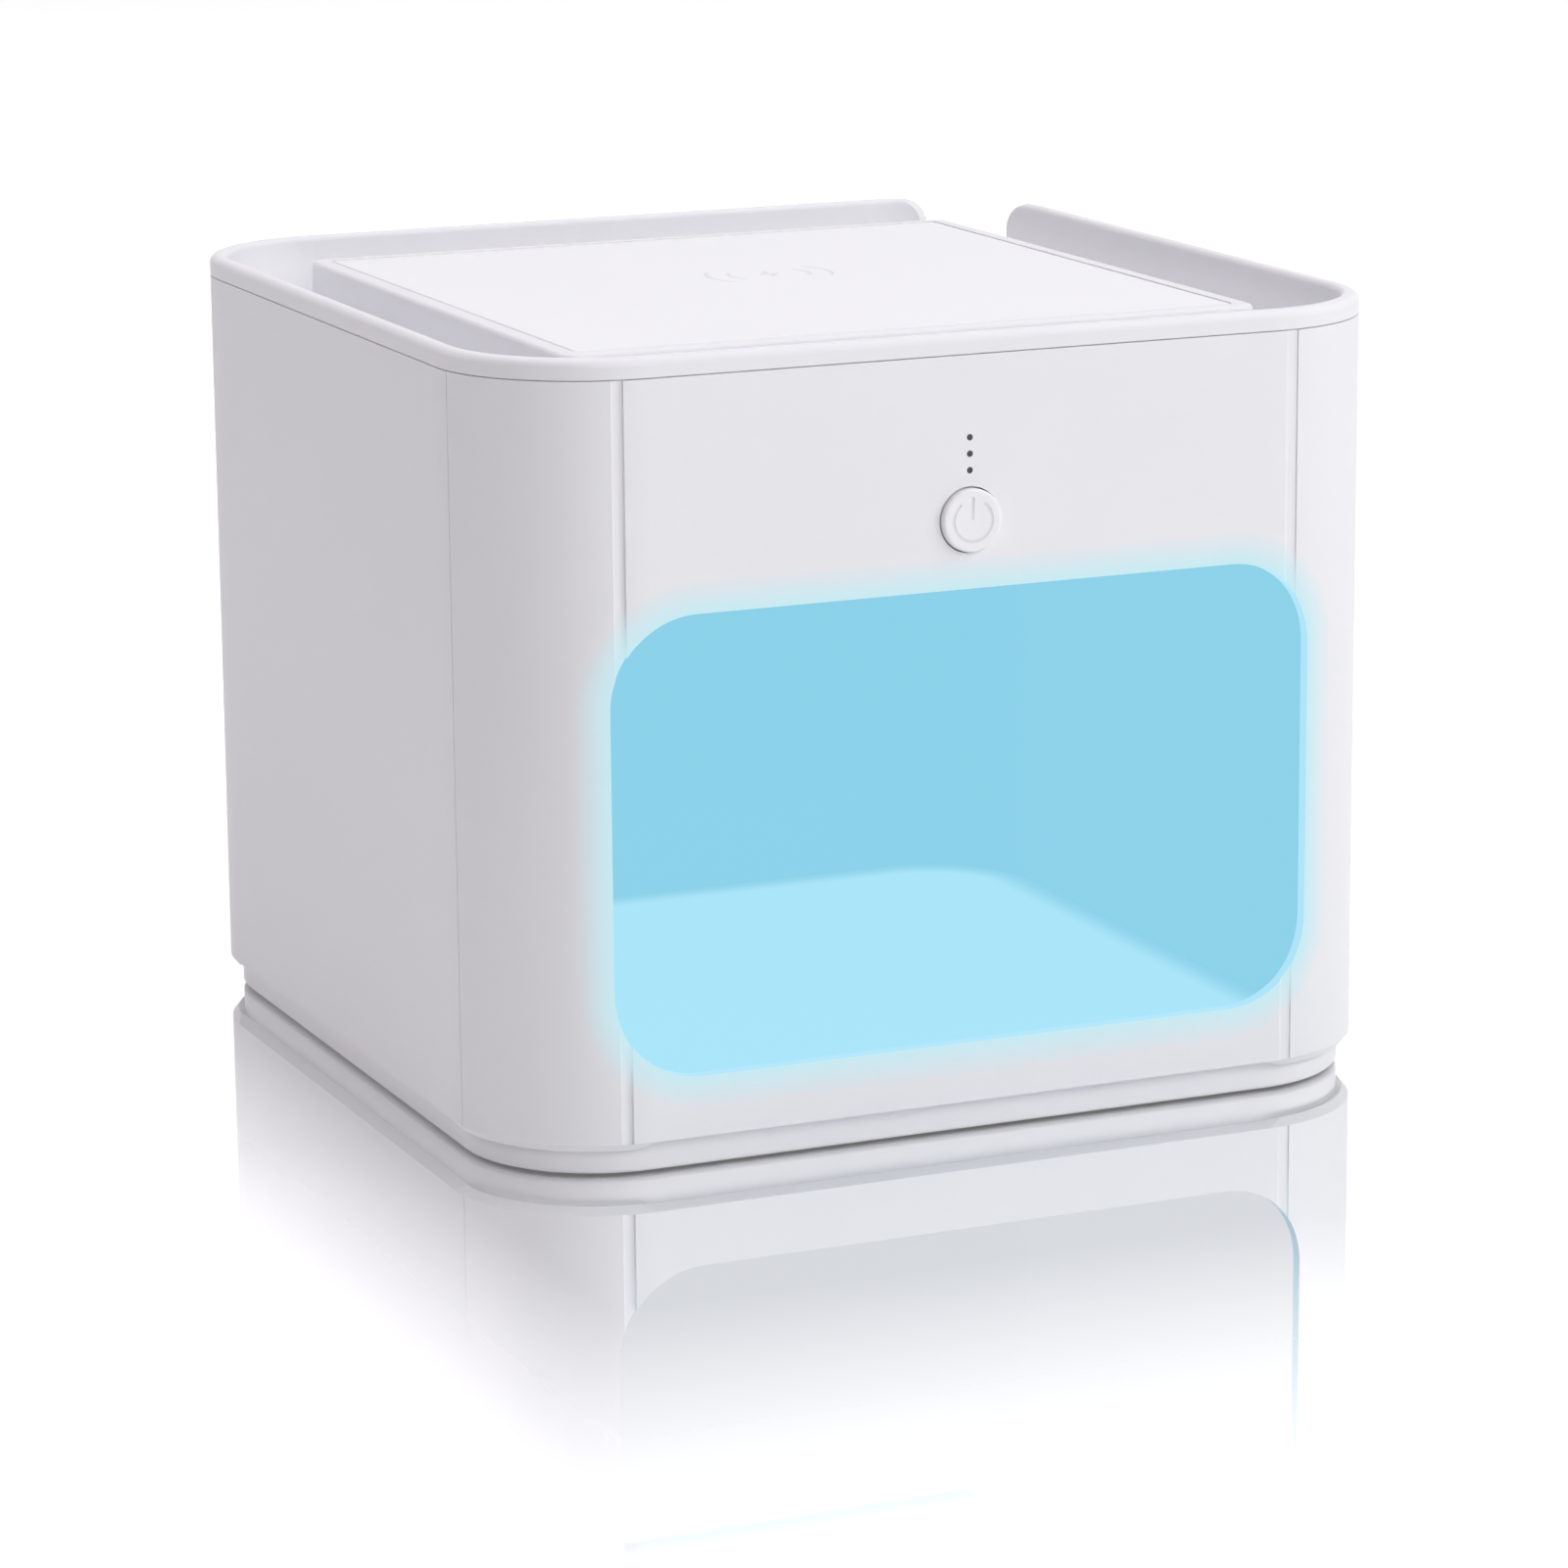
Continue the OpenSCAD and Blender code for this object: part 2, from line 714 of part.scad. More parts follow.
module front_upper_panel() {
    color(white) place() difference() {
        union() {
            intersection() {
                wall_panel("front");
                block(-body_w, -body_d, window_low + window_h / 2, body_w, body_d, body_h);
            }
            backwards(front + wall / 2, button_z)
                cylinder(r = guide_r + guide_wall, h = guide_l + wall / 2);
            for (p = board_spots(control_w, control_h)) backwards(front + wall / 2, control_mid + p[1], p[0])
                cylinder(d = board_boss_d, h = control_stand + wall / 2);
        }
        panel_grooves();
        front_rebate(1);
        window_cut();
        backwards(front - over, button_z) cylinder(r = hole_r, h = wall + 2 * over);
        backwards(front + wall, button_z) cylinder(r = guide_r, h = guide_l + over);
        for (i = [0 : light_count - 1]) backwards(front - over, light_z + i * light_pitch)
            cylinder(r = light_d / 2 + light_gap, h = wall + 2 * over);
        for (p = board_spots(control_w, control_h))
            backwards(board_y + board_t - board_screw_l - tip_gap, control_mid + p[1], p[0])
                cylinder(r = board_pilot_r, h = board_screw_l);
    }
}

// The rim, the channel inside it and the raised square, hollow from below
module tray_shell() {
    mouth_w = body_w - 2 * rim_t;
    mouth_d = body_d - 2 * rim_t;
    mouth_r = corner_r - rim_t;
    deep_w = plateau_w - 2 * plateau_wall;
    deep_d = plateau_d - 2 * plateau_wall;
    deep_r = max(plateau_r - plateau_wall, 0.8);
    difference() {
        union() {
            difference() {
                union() {
                    prism(body_w, body_d, corner_r, seam_z, body_h);
                    core(-fit, tray_under, seam_z + over);
                }
                prism(mouth_w, mouth_d, mouth_r, channel_z, body_h + over);
                outer_round(body_w, body_d, corner_r, body_h, rim_outer_r);
                inner_round(mouth_w, mouth_d, mouth_r, body_h, rim_inner_r);
            }
            prism(plateau_w, plateau_d, plateau_r, tray_under, plateau_top);
        }
        prism(deep_w, deep_d, deep_r, tray_under - over, deck_under);
        prism(recess_w - 2 * ledge_w, recess_d - 2 * ledge_w, deep_r, deck_top, plateau_top + over);
        prism(recess_w, recess_d, recess_r, ledge_z, plateau_top + over);
        outer_round(plateau_w, plateau_d, plateau_r, plateau_top, plateau_round);
    }
}

module top_tray() {
    color(white) place() difference() {
        union() {
            tray_shell();
            for (sx = [-1, 1], sy = [-1, 1]) translate([sx * corner_x, sy * corner_y, tab_top])
                cylinder(d = case_boss_d, h = channel_z - join - tab_top);
            for (p = board_spots(charger_w, charger_d))
                translate([charger_x + p[0], charger_y + p[1], deck_under - charger_stand])
                    cylinder(d = board_boss_d, h = charger_stand + join);
        }
        for (sx = [-1, 1], sy = [-1, 1]) translate([sx * corner_x, sy * corner_y, tab_top - over])
            cylinder(r = pilot_r, h = case_screw_l - tab_t + over + tip_gap);
        for (p = board_spots(charger_w, charger_d))
            translate([charger_x + p[0], charger_y + p[1], deck_under - charger_stand - over])
                cylinder(r = board_pilot_r, h = board_screw_l - board_t + over + tip_gap);
        translate([lead_hole_x, coil_y, deck_under - over]) cylinder(d = lead_hole_d, h = deck_t + 2 * over);
        ring_groove(seam_z);
        gap_cut();
    }
}

module charging_plate() {
    w = recess_w - 2 * groove_w;
    d = recess_d - 2 * groove_w;
    r = max(recess_r - groove_w, 0.6);
    edge = 0.3;
    color("#f1f1f4") place() difference() {
        prism(w, d, r, ledge_z, plateau_top);
        outer_round(w, d, r, plateau_top, edge);
    }
}

// Flat winding, with its two leads bent down to the charger board
module charging_coil() {
    pitch = (coil_d - coil_hole_d) / 2 / (coil_grooves + 1);
    cut = 0.25;
    rim_x = coil_x - coil_d / 2;
    color("#b9713a") place() {
        translate([coil_x, coil_y, coil_top - coil_t]) rotate_extrude() difference() {
            translate([coil_hole_d / 2, 0]) square([(coil_d - coil_hole_d) / 2, coil_t]);
            for (i = [1 : coil_grooves]) translate([coil_hole_d / 2 + i * pitch - cut / 2, coil_t - cut])
                square([cut, cut + over]);
        }
        for (s = [-1, 1]) let (y = coil_y + s * lead_pitch / 2, end_x = lead_end_x + s * lead_pitch / 2)
            wire([[rim_x + over, y, lead_z], [lead_hole_x, y, lead_z], [lead_hole_x, y, lead_low],
                [end_x, lead_end_y, lead_low], [end_x, lead_end_y, charger_z + board_t]], lead_r);
    }
}

module ferrite_sheet() {
    sheet_r = 2;
    color("#3a3a3e") place() translate([coil_x, coil_y, 0])
        prism(ferrite_w, ferrite_w, sheet_r, deck_top, deck_top + ferrite_t);
}

// A circuit board with a hole at each stand-off, its underside at z = 0
module board(w, d) {
    board_r = 1.5;
    difference() {
        prism(w, d, board_r, 0, board_t);
        for (p = board_spots(w, d)) translate([p[0], p[1], -over])
            cylinder(d = board_screw_d + screw_play, h = board_t + 2 * over);
    }
}

module charger_board() {
    color(board_green) place() translate([charger_x, charger_y, charger_z]) board(charger_w, charger_d);
}

module lamp_board() {
    color("#d9dadc") place() translate([0, -lamp_y, lamp_z]) board(lamp_w, lamp_d);
}

module control_board() {
    color(board_green) place() backwards(board_y, control_mid) board(control_w, control_h);
}

module main_board() {
    color(board_green) place() translate([0, main_y, main_z]) board(main_w, main_d);
}

// The chamber's outline seen from above, grown by a wall
module chamber_outline(grow) {
    w = chamber_w / 2 + grow;
    y = front + chamber_depth + grow;
    r = chamber_r + grow;
    translate([-w, front - over]) square([2 * w, y - r - front + over]);
    translate([r - w, front]) square([2 * (w - r), y - front]);
    for (s = [-1, 1]) translate([s * (w - r), y - r]) circle(r = r);
}

module chamber_floor() {
    low = floor_z - floor_t;
    outer = liner_wall + slip + floor_edge_t;
    color("#eef3f5") place() difference() {
        intersection() {
            union() {
                translate([0, 0, low]) linear_extrude(height = floor_t) chamber_outline(outer);
                translate([0, 0, low]) linear_extrude(height = floor_t + floor_edge_h) difference() {
                    chamber_outline(outer);
                    chamber_outline(liner_wall + slip);
                }
            }
            core(-fit, low, ear_z);
        }
        for (s = [-1, 1]) translate([s * corner_x, -corner_y, low - over])
            cylinder(d = case_boss_d + 2 * fit, h = floor_t + floor_edge_h + 2 * over);
    }
}

module lens_prism(grow, z0, z1) {
    translate([0, -lamp_y, 0]) prism(lens_w + 2 * grow, lens_d + 2 * grow, lens_r + grow, z0, z1);
}

module chamber_liner() {
    color("#e9eef1") place() difference() {
        union() {
            intersection() {
                difference() {
                    translate([0, 0, floor_z]) linear_extrude(height = liner_top - floor_z)
                        chamber_outline(liner_wall);
                    translate([0, 0, floor_z - over]) linear_extrude(height = ceiling_z - floor_z + over)
                        chamber_outline(0);
                }
                core(-fit, floor_z - over, liner_top + over);
            }
            for (p = board_spots(lamp_w, lamp_d)) translate([p[0], p[1] - lamp_y, ceiling_z])
                cylinder(d = board_boss_d, h = liner_wall + lamp_stand);
            for (s = [-1, 1], y = [ear_front, ear_back]) in_corner(s, 1)
                block(chamber_w / 2 + liner_wall / 2, y - case_boss_d / 2, ear_z,
                    ear_x + case_boss_d / 2, y + case_boss_d / 2, ear_z + ear_t);
        }
        lens_prism(0, ceiling_z - over, liner_top + over);
        lens_prism(lens_ledge, liner_top - lens_t, liner_top + over);
        for (p = board_spots(lamp_w, lamp_d))
            translate([p[0], p[1] - lamp_y, lamp_z + board_t - board_screw_l - tip_gap])
                cylinder(r = board_pilot_r, h = board_screw_l);
        for (s = [-1, 1], y = [ear_front, ear_back]) translate([s * ear_x, y, ear_z - over])
            cylinder(d = case_hole_d, h = ear_t + 2 * over);
    }
}

module lamp_window() {
    color([0.85, 0.93, 1, 0.5]) place() lens_prism(lens_ledge - slip, liner_top - lens_t, liner_top);
}

module uv_lamps() {
    side = 3.5;
    body_t = 1;
    dome_d = 2.8;
    dome_t = 0.6;
    pitch_x = lens_w / lamp_cols;
    pitch_y = lens_d / lamp_rows;
    color("#f4f0d8") place() for (i = [0 : lamp_cols - 1], j = [0 : lamp_rows - 1])
        let (x = (i - (lamp_cols - 1) / 2) * pitch_x, y = (j - (lamp_rows - 1) / 2) * pitch_y - lamp_y)
        translate([x, y, lamp_z]) {
            block(-side / 2, -side / 2, -body_t, side / 2, side / 2, 0);
            translate([0, 0, -body_t - dome_t]) cylinder(d = dome_d, h = dome_t + join);
        }
}

module base_tray() {
    plate_in = wall + fit + upstand_t - join;
    board_low = floor_top - over;
    rib_x = [-rib_pitch, 0, rib_pitch];
    rib_setback = 25;
    rib_y = [for (i = [0 : 2]) front + rib_setback + i * rib_pitch];
    rib_reach = 10;
    rib_top = floor_z - floor_t;
    color(white) place() difference() {
        union() {
            around(body_w, body_d, corner_r) base_outline();
            prism(body_w - 2 * plate_in, body_d - 2 * plate_in, corner_r - plate_in, foot_lift, floor_top);
            for (sx = [-1, 1], sy = [-1, 1]) translate([sx * corner_x, sy * corner_y, board_low])
                cylinder(d = base_boss_d, h = post_foot - board_low);
            for (s = [-1, 1], y = [ear_front, ear_back]) translate([s * ear_x, y, board_low])
                cylinder(d = case_boss_d, h = ear_z - board_low);
            for (p = board_spots(main_w, main_d)) translate([p[0], main_y + p[1], board_low])
                cylinder(d = board_boss_d, h = main_z - board_low);
            for (y = rib_y) block(rib_x[0] - rib_reach, y - rib_t / 2, board_low,
                rib_x[2] + rib_reach, y + rib_t / 2, rib_top);
            for (x = rib_x) block(x - rib_t / 2, rib_y[0] - rib_reach, board_low,
                x + rib_t / 2, rib_y[2] + rib_reach, rib_top);
        }
        for (sx = [-1, 1], sy = [-1, 1]) {
            translate([sx * (body_w / 2 - foot_inset), sy * (back - foot_inset), 0])
                cylinder(d = foot_d + 2 * slip, h = foot_lift + foot_recess);
            translate([sx * corner_x, sy * corner_y, 0]) cylinder(d = case_hole_d, h = post_foot + over);
            translate([sx * corner_x, sy * corner_y, 0]) cylinder(d = head_hole_d, h = head_seat);
        }
        for (s = [-1, 1], y = [ear_front, ear_back])
            translate([s * ear_x, y, ear_z + ear_t - case_screw_l - tip_gap])
                cylinder(r = pilot_r, h = case_screw_l);
        for (p = board_spots(main_w, main_d))
            translate([p[0], main_y + p[1], main_z + board_t - board_screw_l - tip_gap])
                cylinder(r = board_pilot_r, h = board_screw_l);
        for (i = [0 : vent_count - 1]) translate([(i - (vent_count - 1) / 2) * vent_pitch, main_y, 0])
            prism(vent_w, vent_l, vent_w / 2 - least_flat, 0, floor_top + over);
    }
}

// Section of the base's edge: lip, sloping shoulder and inner upstand
module base_outline() {
    inner = wall + fit + upstand_t;
    step = foot_lift + base_lip_straight;
    difference() {
        translate([-inner, foot_lift]) square([inner - base_lip_inset, base_lip_straight]);
        translate([-base_lip_inset - base_lip_r, foot_lift]) difference() {
            translate([0, -over]) square([base_lip_r + over, base_lip_r + over]);
            translate([0, base_lip_r]) circle(r = base_lip_r);
        }
    }
    polygon([[-inner, step], [-base_lip_inset, step], [0, shell_low], [-inner, shell_low]]);
    translate([-inner, shell_low]) square([upstand_t, upstand_h]);
}

module rubber_feet() {
    edge = 0.4;
    foot_h = foot_lift + foot_recess;
    color("#c9c9ce") place() for (sx = [-1, 1], sy = [-1, 1])
        translate([sx * (body_w / 2 - foot_inset), sy * (back - foot_inset), 0]) rotate_extrude()
            polygon([[0, 0], [foot_d / 2 - edge, 0], [foot_d / 2, edge], [foot_d / 2, foot_h], [0, foot_h]]);
}

module power_button() {
    dish_r = (pow(dish_d / 2, 2) + pow(dish_depth, 2)) / (2 * dish_depth);
    cap_l = button_proud + wall + slip;
    color("#f0f0f3") place() difference() {
        union() {
            backwards(front - button_proud, button_z) rotate_extrude() {
                translate([0, button_edge_r]) square([cap_r, cap_l - button_edge_r]);
                square([cap_r - button_edge_r, button_edge_r + join]);
                intersection() {
                    translate([cap_r - button_edge_r, button_edge_r]) circle(r = button_edge_r);
                    square([cap_r, button_edge_r]);
                }
            }
            backwards(flange_y, button_z) cylinder(r = flange_r, h = flange_t);
            backwards(flange_back - join, button_z) cylinder(d = stem_d, h = plunger_y - flange_back + join);
        }
        translate([0, front - button_proud + dish_depth - dish_r, button_z]) sphere(r = dish_r);
    }
}

module switch_plunger() {
    color("#2b2b2e") place() backwards(plunger_y, button_z) cylinder(r = plunger_r, h = plunger_l);
}

// One unbroken wire, wound round the stem
module button_spring() {
    length = switch_y - flange_back - 2 * slip - spring_wire;
    steps = 16 * spring_turns;
    sides = 6;
    rings = [for (i = [0 : steps]) let (a = 360 * i / 16, y = length * i / steps)
        for (k = [0 : sides - 1]) let (b = 360 * k / sides, r = spring_r + spring_wire / 2 * cos(b))
            [r * cos(a), r * sin(a), y + spring_wire / 2 * (1 + sin(b))]];
    sides_faces = [for (i = [0 : steps - 1], k = [0 : sides - 1]) let (n = (k + 1) % sides)
        each [[i * sides + k, i * sides + n, (i + 1) * sides + n],
            [i * sides + k, (i + 1) * sides + n, (i + 1) * sides + k]]];
    start_face = [for (k = [sides - 1 : -1 : 0]) k];
    end_face = [for (k = [0 : sides - 1]) steps * sides + k];
    color("#9a9da2") place() backwards(flange_back + slip, button_z)
        polyhedron(points = rings, faces = concat(sides_faces, [start_face, end_face]));
}

module switch_body() {
    half = switch_w / 2;
    color("#26262a") place() difference() {
        block(-half, switch_y, button_z - half, half, board_y, button_z + half);
        backwards(switch_y - over, button_z) cylinder(r = plunger_r + plunger_gap, h = socket_depth + over);
    }
}

// The indicator lights' tips, moulded together on one bar
module light_guide() {
    tip_y = front + light_sunk;
    low = light_z - light_d / 2;
    high = light_z + (light_count - 1) * light_pitch + light_d / 2 + light_bar_edge;
    color([0.8, 0.84, 0.88, 0.8]) place() {
        for (i = [0 : light_count - 1]) backwards(tip_y, light_z + i * light_pitch)
            cylinder(d = light_d, h = light_back - tip_y);
        block(-light_bar_w / 2, front + wall, low, light_bar_w / 2, front + wall + light_bar_t, high);
    }
}

module indicator_leds() {
    color("#e8e4c8") place() for (i = [0 : light_count - 1]) let (z = light_z + i * light_pitch)
        block(-led_w / 2, board_y - led_t, z - led_h / 2, led_w / 2, board_y, z + led_h / 2);
}

// A socket for a wire's plug, standing on a board
module header(x, y, z0, z1) {
    block(x - header_l / 2, y - header_t / 2, z0, x + header_l / 2, y + header_t / 2, z1);
}

// Sockets, capacitors and chips that stand on the boards
module board_parts() {
    can_d = 7;
    can_h = 11;
    can_x = 26;
    can_back = 4;
    chip = 8;
    chip_t = 1.4;
    main_top = main_z + board_t;
    control_back = board_y + board_t;
    half = header_t / 2;
    color("#3c3c42") place() {
        for (route = [lamp_route, charger_route, control_route])
            header(route[0][0], header_y, main_top, main_header_top);
        header(lamp_route[3][0], lamp_route[3][1], lamp_z + board_t, lamp_header_top);
        header(charger_x, charger_header_y, charger_header_low, charger_z);
        block(control_route[2][0] - half, control_back, control_header_z - half,
            control_route[2][0] + half, control_header_back, control_header_z + half);
        for (s = [-1, 1]) translate([s * can_x, main_y + can_back, main_top]) cylinder(d = can_d, h = can_h);
        block(-chip / 2, main_y - main_d / 2 + 2, main_top, chip / 2, main_y - main_d / 2 + 2 + chip,
            main_top + chip_t);
        block(charger_x - chip / 2, charger_y - chip - over, charger_z - chip_t,
            charger_x + chip / 2, charger_y - over, charger_z);
        block(-chip, control_back, control_mid + over, 0, control_back + chip_t, control_mid + over + chip);
    }
}

module power_inlet() {
    tongue_w = inlet_w - 2.2;
    tongue_t = 0.7;
    tongue_end = inlet_l - 0.8;
    floor_l = 1.4;
    hollow_w = inlet_w - 2 * inlet_wall;
    hollow_h = inlet_h - 2 * inlet_wall;
    color("#b4b6ba") place() backwards(inlet_y, inlet_z) {
        difference() {
            linear_extrude(height = inlet_l) rounded_rect(inlet_w, inlet_h, inlet_h / 2 - least_flat);
            translate([0, 0, floor_l]) linear_extrude(height = inlet_l)
                rounded_rect(hollow_w, hollow_h, hollow_h / 2 - least_flat);
        }
        block(-tongue_w / 2, -tongue_t / 2, floor_l - join, tongue_w / 2, tongue_t / 2, tongue_end);
    }
}

// A screw whose head stands on z = 0, with its shank below and a cross recess
module screw(d, length, head_d, head_h) {
    edge = 0.25;
    tip_w = 0.3;
    tip_l = 0.6;
    slot_l = head_d * 0.55;
    slot_w = 0.6;
    slot_floor = head_h * 0.4;
    shank_r = d / 2;
    head_r = head_d / 2;
    difference() {
        rotate_extrude() polygon([[0, -length], [shank_r - tip_w, -length], [shank_r, tip_l - length],
            [shank_r, 0], [head_r, 0], [head_r, head_h - edge], [head_r - edge, head_h], [0, head_h]]);
        for (a = [0, 90]) rotate([0, 0, a])
            block(-slot_l / 2, -slot_w / 2, slot_floor, slot_l / 2, slot_w / 2, head_h + over);
    }
}

module case_screws() {
    color(steel) place() for (s = case_spots) translate([s[0], s[1], s[2]]) rotate([180 * s[3], 0, 0])
        screw(case_screw_d, case_screw_l, case_head_d, case_head_h);
}

module board_screw() {
    screw(board_screw_d, board_screw_l, board_head_d, board_head_h);
}

module board_screws() {
    color(steel) place() {
        for (p = board_spots(lamp_w, lamp_d))
            translate([p[0], p[1] - lamp_y, lamp_z + board_t]) board_screw();
        for (p = board_spots(main_w, main_d))
            translate([p[0], main_y + p[1], main_z + board_t]) board_screw();
        for (p = board_spots(charger_w, charger_d))
            translate([charger_x + p[0], charger_y + p[1], charger_z]) rotate([180, 0, 0]) board_screw();
        for (p = board_spots(control_w, control_h))
            backwards(board_y + board_t, control_mid + p[1], p[0]) board_screw();
    }
}

// A wire with square bends, from one plug to another
module wire(route, r) {
    for (i = [0 : len(route) - 2]) let (a = route[i], b = route[i + 1], v = b - a, l = norm(v))
        translate(a) rotate([0, acos(v[2] / l), atan2(v[1], v[0])]) cylinder(r = r, h = l);
    // A ball a little larger than the wire closes each bend
    for (i = [1 : len(route) - 2]) translate(route[i]) sphere(r = r + knuckle);
}

module lamp_cable() {
    color("#d04a3a") place() wire(lamp_route, wire_r);
}

module charger_cable() {
    color("#38383c") place() wire(charger_route, wire_r);
}

module control_cable() {
    color("#e0d9c0") place() wire(control_route, wire_r);
}

base_tray();
rubber_feet();
front_left_post();
front_right_post();
back_left_post();
back_right_post();
front_upper_panel();
front_lower_panel();
left_panel();
right_panel();
back_panel();
top_tray();
charging_plate();
charging_coil();
ferrite_sheet();
charger_board();
chamber_floor();
chamber_liner();
lamp_window();
lamp_board();
uv_lamps();
power_button();
switch_plunger();
button_spring();
switch_body();
light_guide();
indicator_leds();
control_board();
main_board();
board_parts();
power_inlet();
case_screws();
board_screws();
lamp_cable();
charger_cable();
control_cable();
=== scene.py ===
import json
import math
import bpy
from mathutils import Matrix, Vector


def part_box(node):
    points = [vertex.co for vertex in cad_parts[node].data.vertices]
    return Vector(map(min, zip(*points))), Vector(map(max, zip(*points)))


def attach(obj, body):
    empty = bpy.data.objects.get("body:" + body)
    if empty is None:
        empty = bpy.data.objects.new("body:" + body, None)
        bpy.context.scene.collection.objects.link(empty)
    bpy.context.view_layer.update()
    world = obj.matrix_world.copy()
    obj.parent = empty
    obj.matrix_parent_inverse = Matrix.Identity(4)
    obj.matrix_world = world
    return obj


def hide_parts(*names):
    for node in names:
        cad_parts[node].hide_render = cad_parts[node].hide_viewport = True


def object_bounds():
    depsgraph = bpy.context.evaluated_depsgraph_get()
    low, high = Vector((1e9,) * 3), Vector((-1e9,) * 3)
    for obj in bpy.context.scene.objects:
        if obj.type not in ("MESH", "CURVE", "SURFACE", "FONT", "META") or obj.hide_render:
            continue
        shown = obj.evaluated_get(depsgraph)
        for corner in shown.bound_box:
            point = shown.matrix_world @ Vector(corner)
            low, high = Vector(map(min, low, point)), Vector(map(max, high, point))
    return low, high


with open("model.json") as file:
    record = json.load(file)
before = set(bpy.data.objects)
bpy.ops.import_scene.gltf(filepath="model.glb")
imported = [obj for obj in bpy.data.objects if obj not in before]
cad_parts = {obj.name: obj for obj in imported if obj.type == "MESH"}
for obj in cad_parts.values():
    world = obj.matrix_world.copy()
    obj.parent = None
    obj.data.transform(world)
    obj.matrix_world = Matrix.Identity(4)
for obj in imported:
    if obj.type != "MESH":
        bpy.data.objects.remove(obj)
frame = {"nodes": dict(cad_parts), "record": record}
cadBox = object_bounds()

mm = 0.001
nodes = frame["nodes"]
finishes = {m["slot"]: m for m in frame["record"]["materials"]}
print("frame loaded,", len(nodes), "nodes")


def letGo():
    if bpy.context.object and bpy.context.object.mode != "OBJECT":
        bpy.ops.object.mode_set(mode="OBJECT")
    bpy.ops.object.select_all(action="DESELECT")


def takeUp(piece):
    letGo()
    piece.select_set(True)
    bpy.context.view_layer.objects.active = piece


# camera and studio

camera = {
    "place": (-0.4998, -1.1613, 0.3479),
    "yaw": 23.39,     # degrees to the right of straight at the front
    "pitch": 13.05,   # degrees down
    "roll": -0.49,
    "lens": 131.3,
    "sensor": 36.0,
    "farthest": 20,
}


def addCamera(c):
    letGo()
    yaw, pitch, roll = (math.radians(c[k]) for k in ("yaw", "pitch", "roll"))
    turn = (Matrix.Rotation(-yaw, 3, "Z") @ Matrix.Rotation(math.pi / 2 - pitch, 3, "X")
            @ Matrix.Rotation(roll, 3, "Z"))
    bpy.ops.object.camera_add(location=c["place"], rotation=turn.to_euler())
    made = bpy.context.object
    made.data.lens = c["lens"]
    made.data.sensor_width = c["sensor"]
    made.data.clip_end = c["farthest"]
    bpy.context.scene.camera = made


lamps = [
    {"name": "frontLamp", "from": (0.0, -1.775, 1.115), "size": 1.2, "watts": 14.6,
     "colour": (1.0, 0.96, 0.98)},
    {"name": "rightLamp", "from": (1.36, -1.141, 1.115), "size": 1.2, "watts": 17.0,
     "colour": (0.965, 1.0, 0.99)},
    {"name": "topLamp", "from": (0.15, 0.1, 1.9), "size": 1.5, "watts": 14.8,
     "colour": (0.97, 0.945, 1.0)},
    {"name": "leftLamp", "from": (-1.537, 0.888, 1.115), "size": 1.2, "watts": 11.3,
     "colour": (1.0, 0.94, 0.975)},
    {"name": "backLamp", "from": (0.0, 0.96, 1.9), "size": 1.3, "watts": 4.0,
     "colour": (0.98, 0.96, 1.0)},
]
room = {"white": (1.0, 1.0, 1.0, 1.0), "ambient": (1.0, 0.985, 1.0, 1.0), "strength": 0.05}
aim = Vector((0.0, 0.0, 0.09))


def addLamp(lamp):
    letGo()
    spot = Vector(lamp["from"])
    turn = (aim - spot).to_track_quat("-Z", "Y").to_euler()
    bpy.ops.object.light_add(type="AREA", radius=lamp["size"], location=spot, rotation=turn)
    made = bpy.context.object
    made.name = lamp["name"]
    made.data.size = lamp["size"]
    made.data.energy = lamp["watts"]
    made.data.color = lamp["colour"]


# node helpers

def put(tree, value, socket):
    if isinstance(value, bpy.types.NodeSocket):
        tree.links.new(value, socket)
    elif value is not None:
        socket.default_value = value


def calc(tree, operation, a, b=None, c=None, clamp=False):
    node = tree.nodes.new("ShaderNodeMath")
    node.operation = operation
    node.use_clamp = clamp
    for value, socket in zip((a, b, c), node.inputs):
        put(tree, value, socket)
    return node.outputs[0]


def farOut(tree, a, b):
    squares = [calc(tree, "POWER", side, 2.0) for side in (a, b)]
    return calc(tree, "SQRT", calc(tree, "ADD", *squares))


def lengthOf(tree, vector):
    node = tree.nodes.new("ShaderNodeVectorMath")
    node.operation = "LENGTH"
    put(tree, vector, node.inputs[0])
    return node.outputs["Value"]


def axesOf(tree, vector):
    node = tree.nodes.new("ShaderNodeSeparateXYZ")
    put(tree, vector, node.inputs[0])
    return node.outputs


def raysOf(tree):
    return tree.nodes.new("ShaderNodeLightPath").outputs


def mixColour(tree, amount, a, b, blend="MIX"):
    node = tree.nodes.new("ShaderNodeMix")
    node.data_type = "RGBA"
    node.blend_type = blend
    put(tree, amount, node.inputs["Factor"])
    put(tree, a, node.inputs["A"])
    put(tree, b, node.inputs["B"])
    return node.outputs["Result"]


def mixShaders(tree, amount, a, b):
    node = tree.nodes.new("ShaderNodeMixShader")
    for value, socket in zip((amount, a, b), node.inputs):
        put(tree, value, socket)
    return node.outputs[0]


def ramp(tree, value, low, high, outLow=0.0, outHigh=1.0, smooth=False):
    node = tree.nodes.new("ShaderNodeMapRange")
    node.interpolation_type = "SMOOTHSTEP" if smooth else "LINEAR"
    put(tree, value, node.inputs["Value"])
    put(tree, low, node.inputs["From Min"])
    put(tree, high, node.inputs["From Max"])
    put(tree, outLow, node.inputs["To Min"])
    put(tree, outHigh, node.inputs["To Max"])
    return node.outputs["Result"]


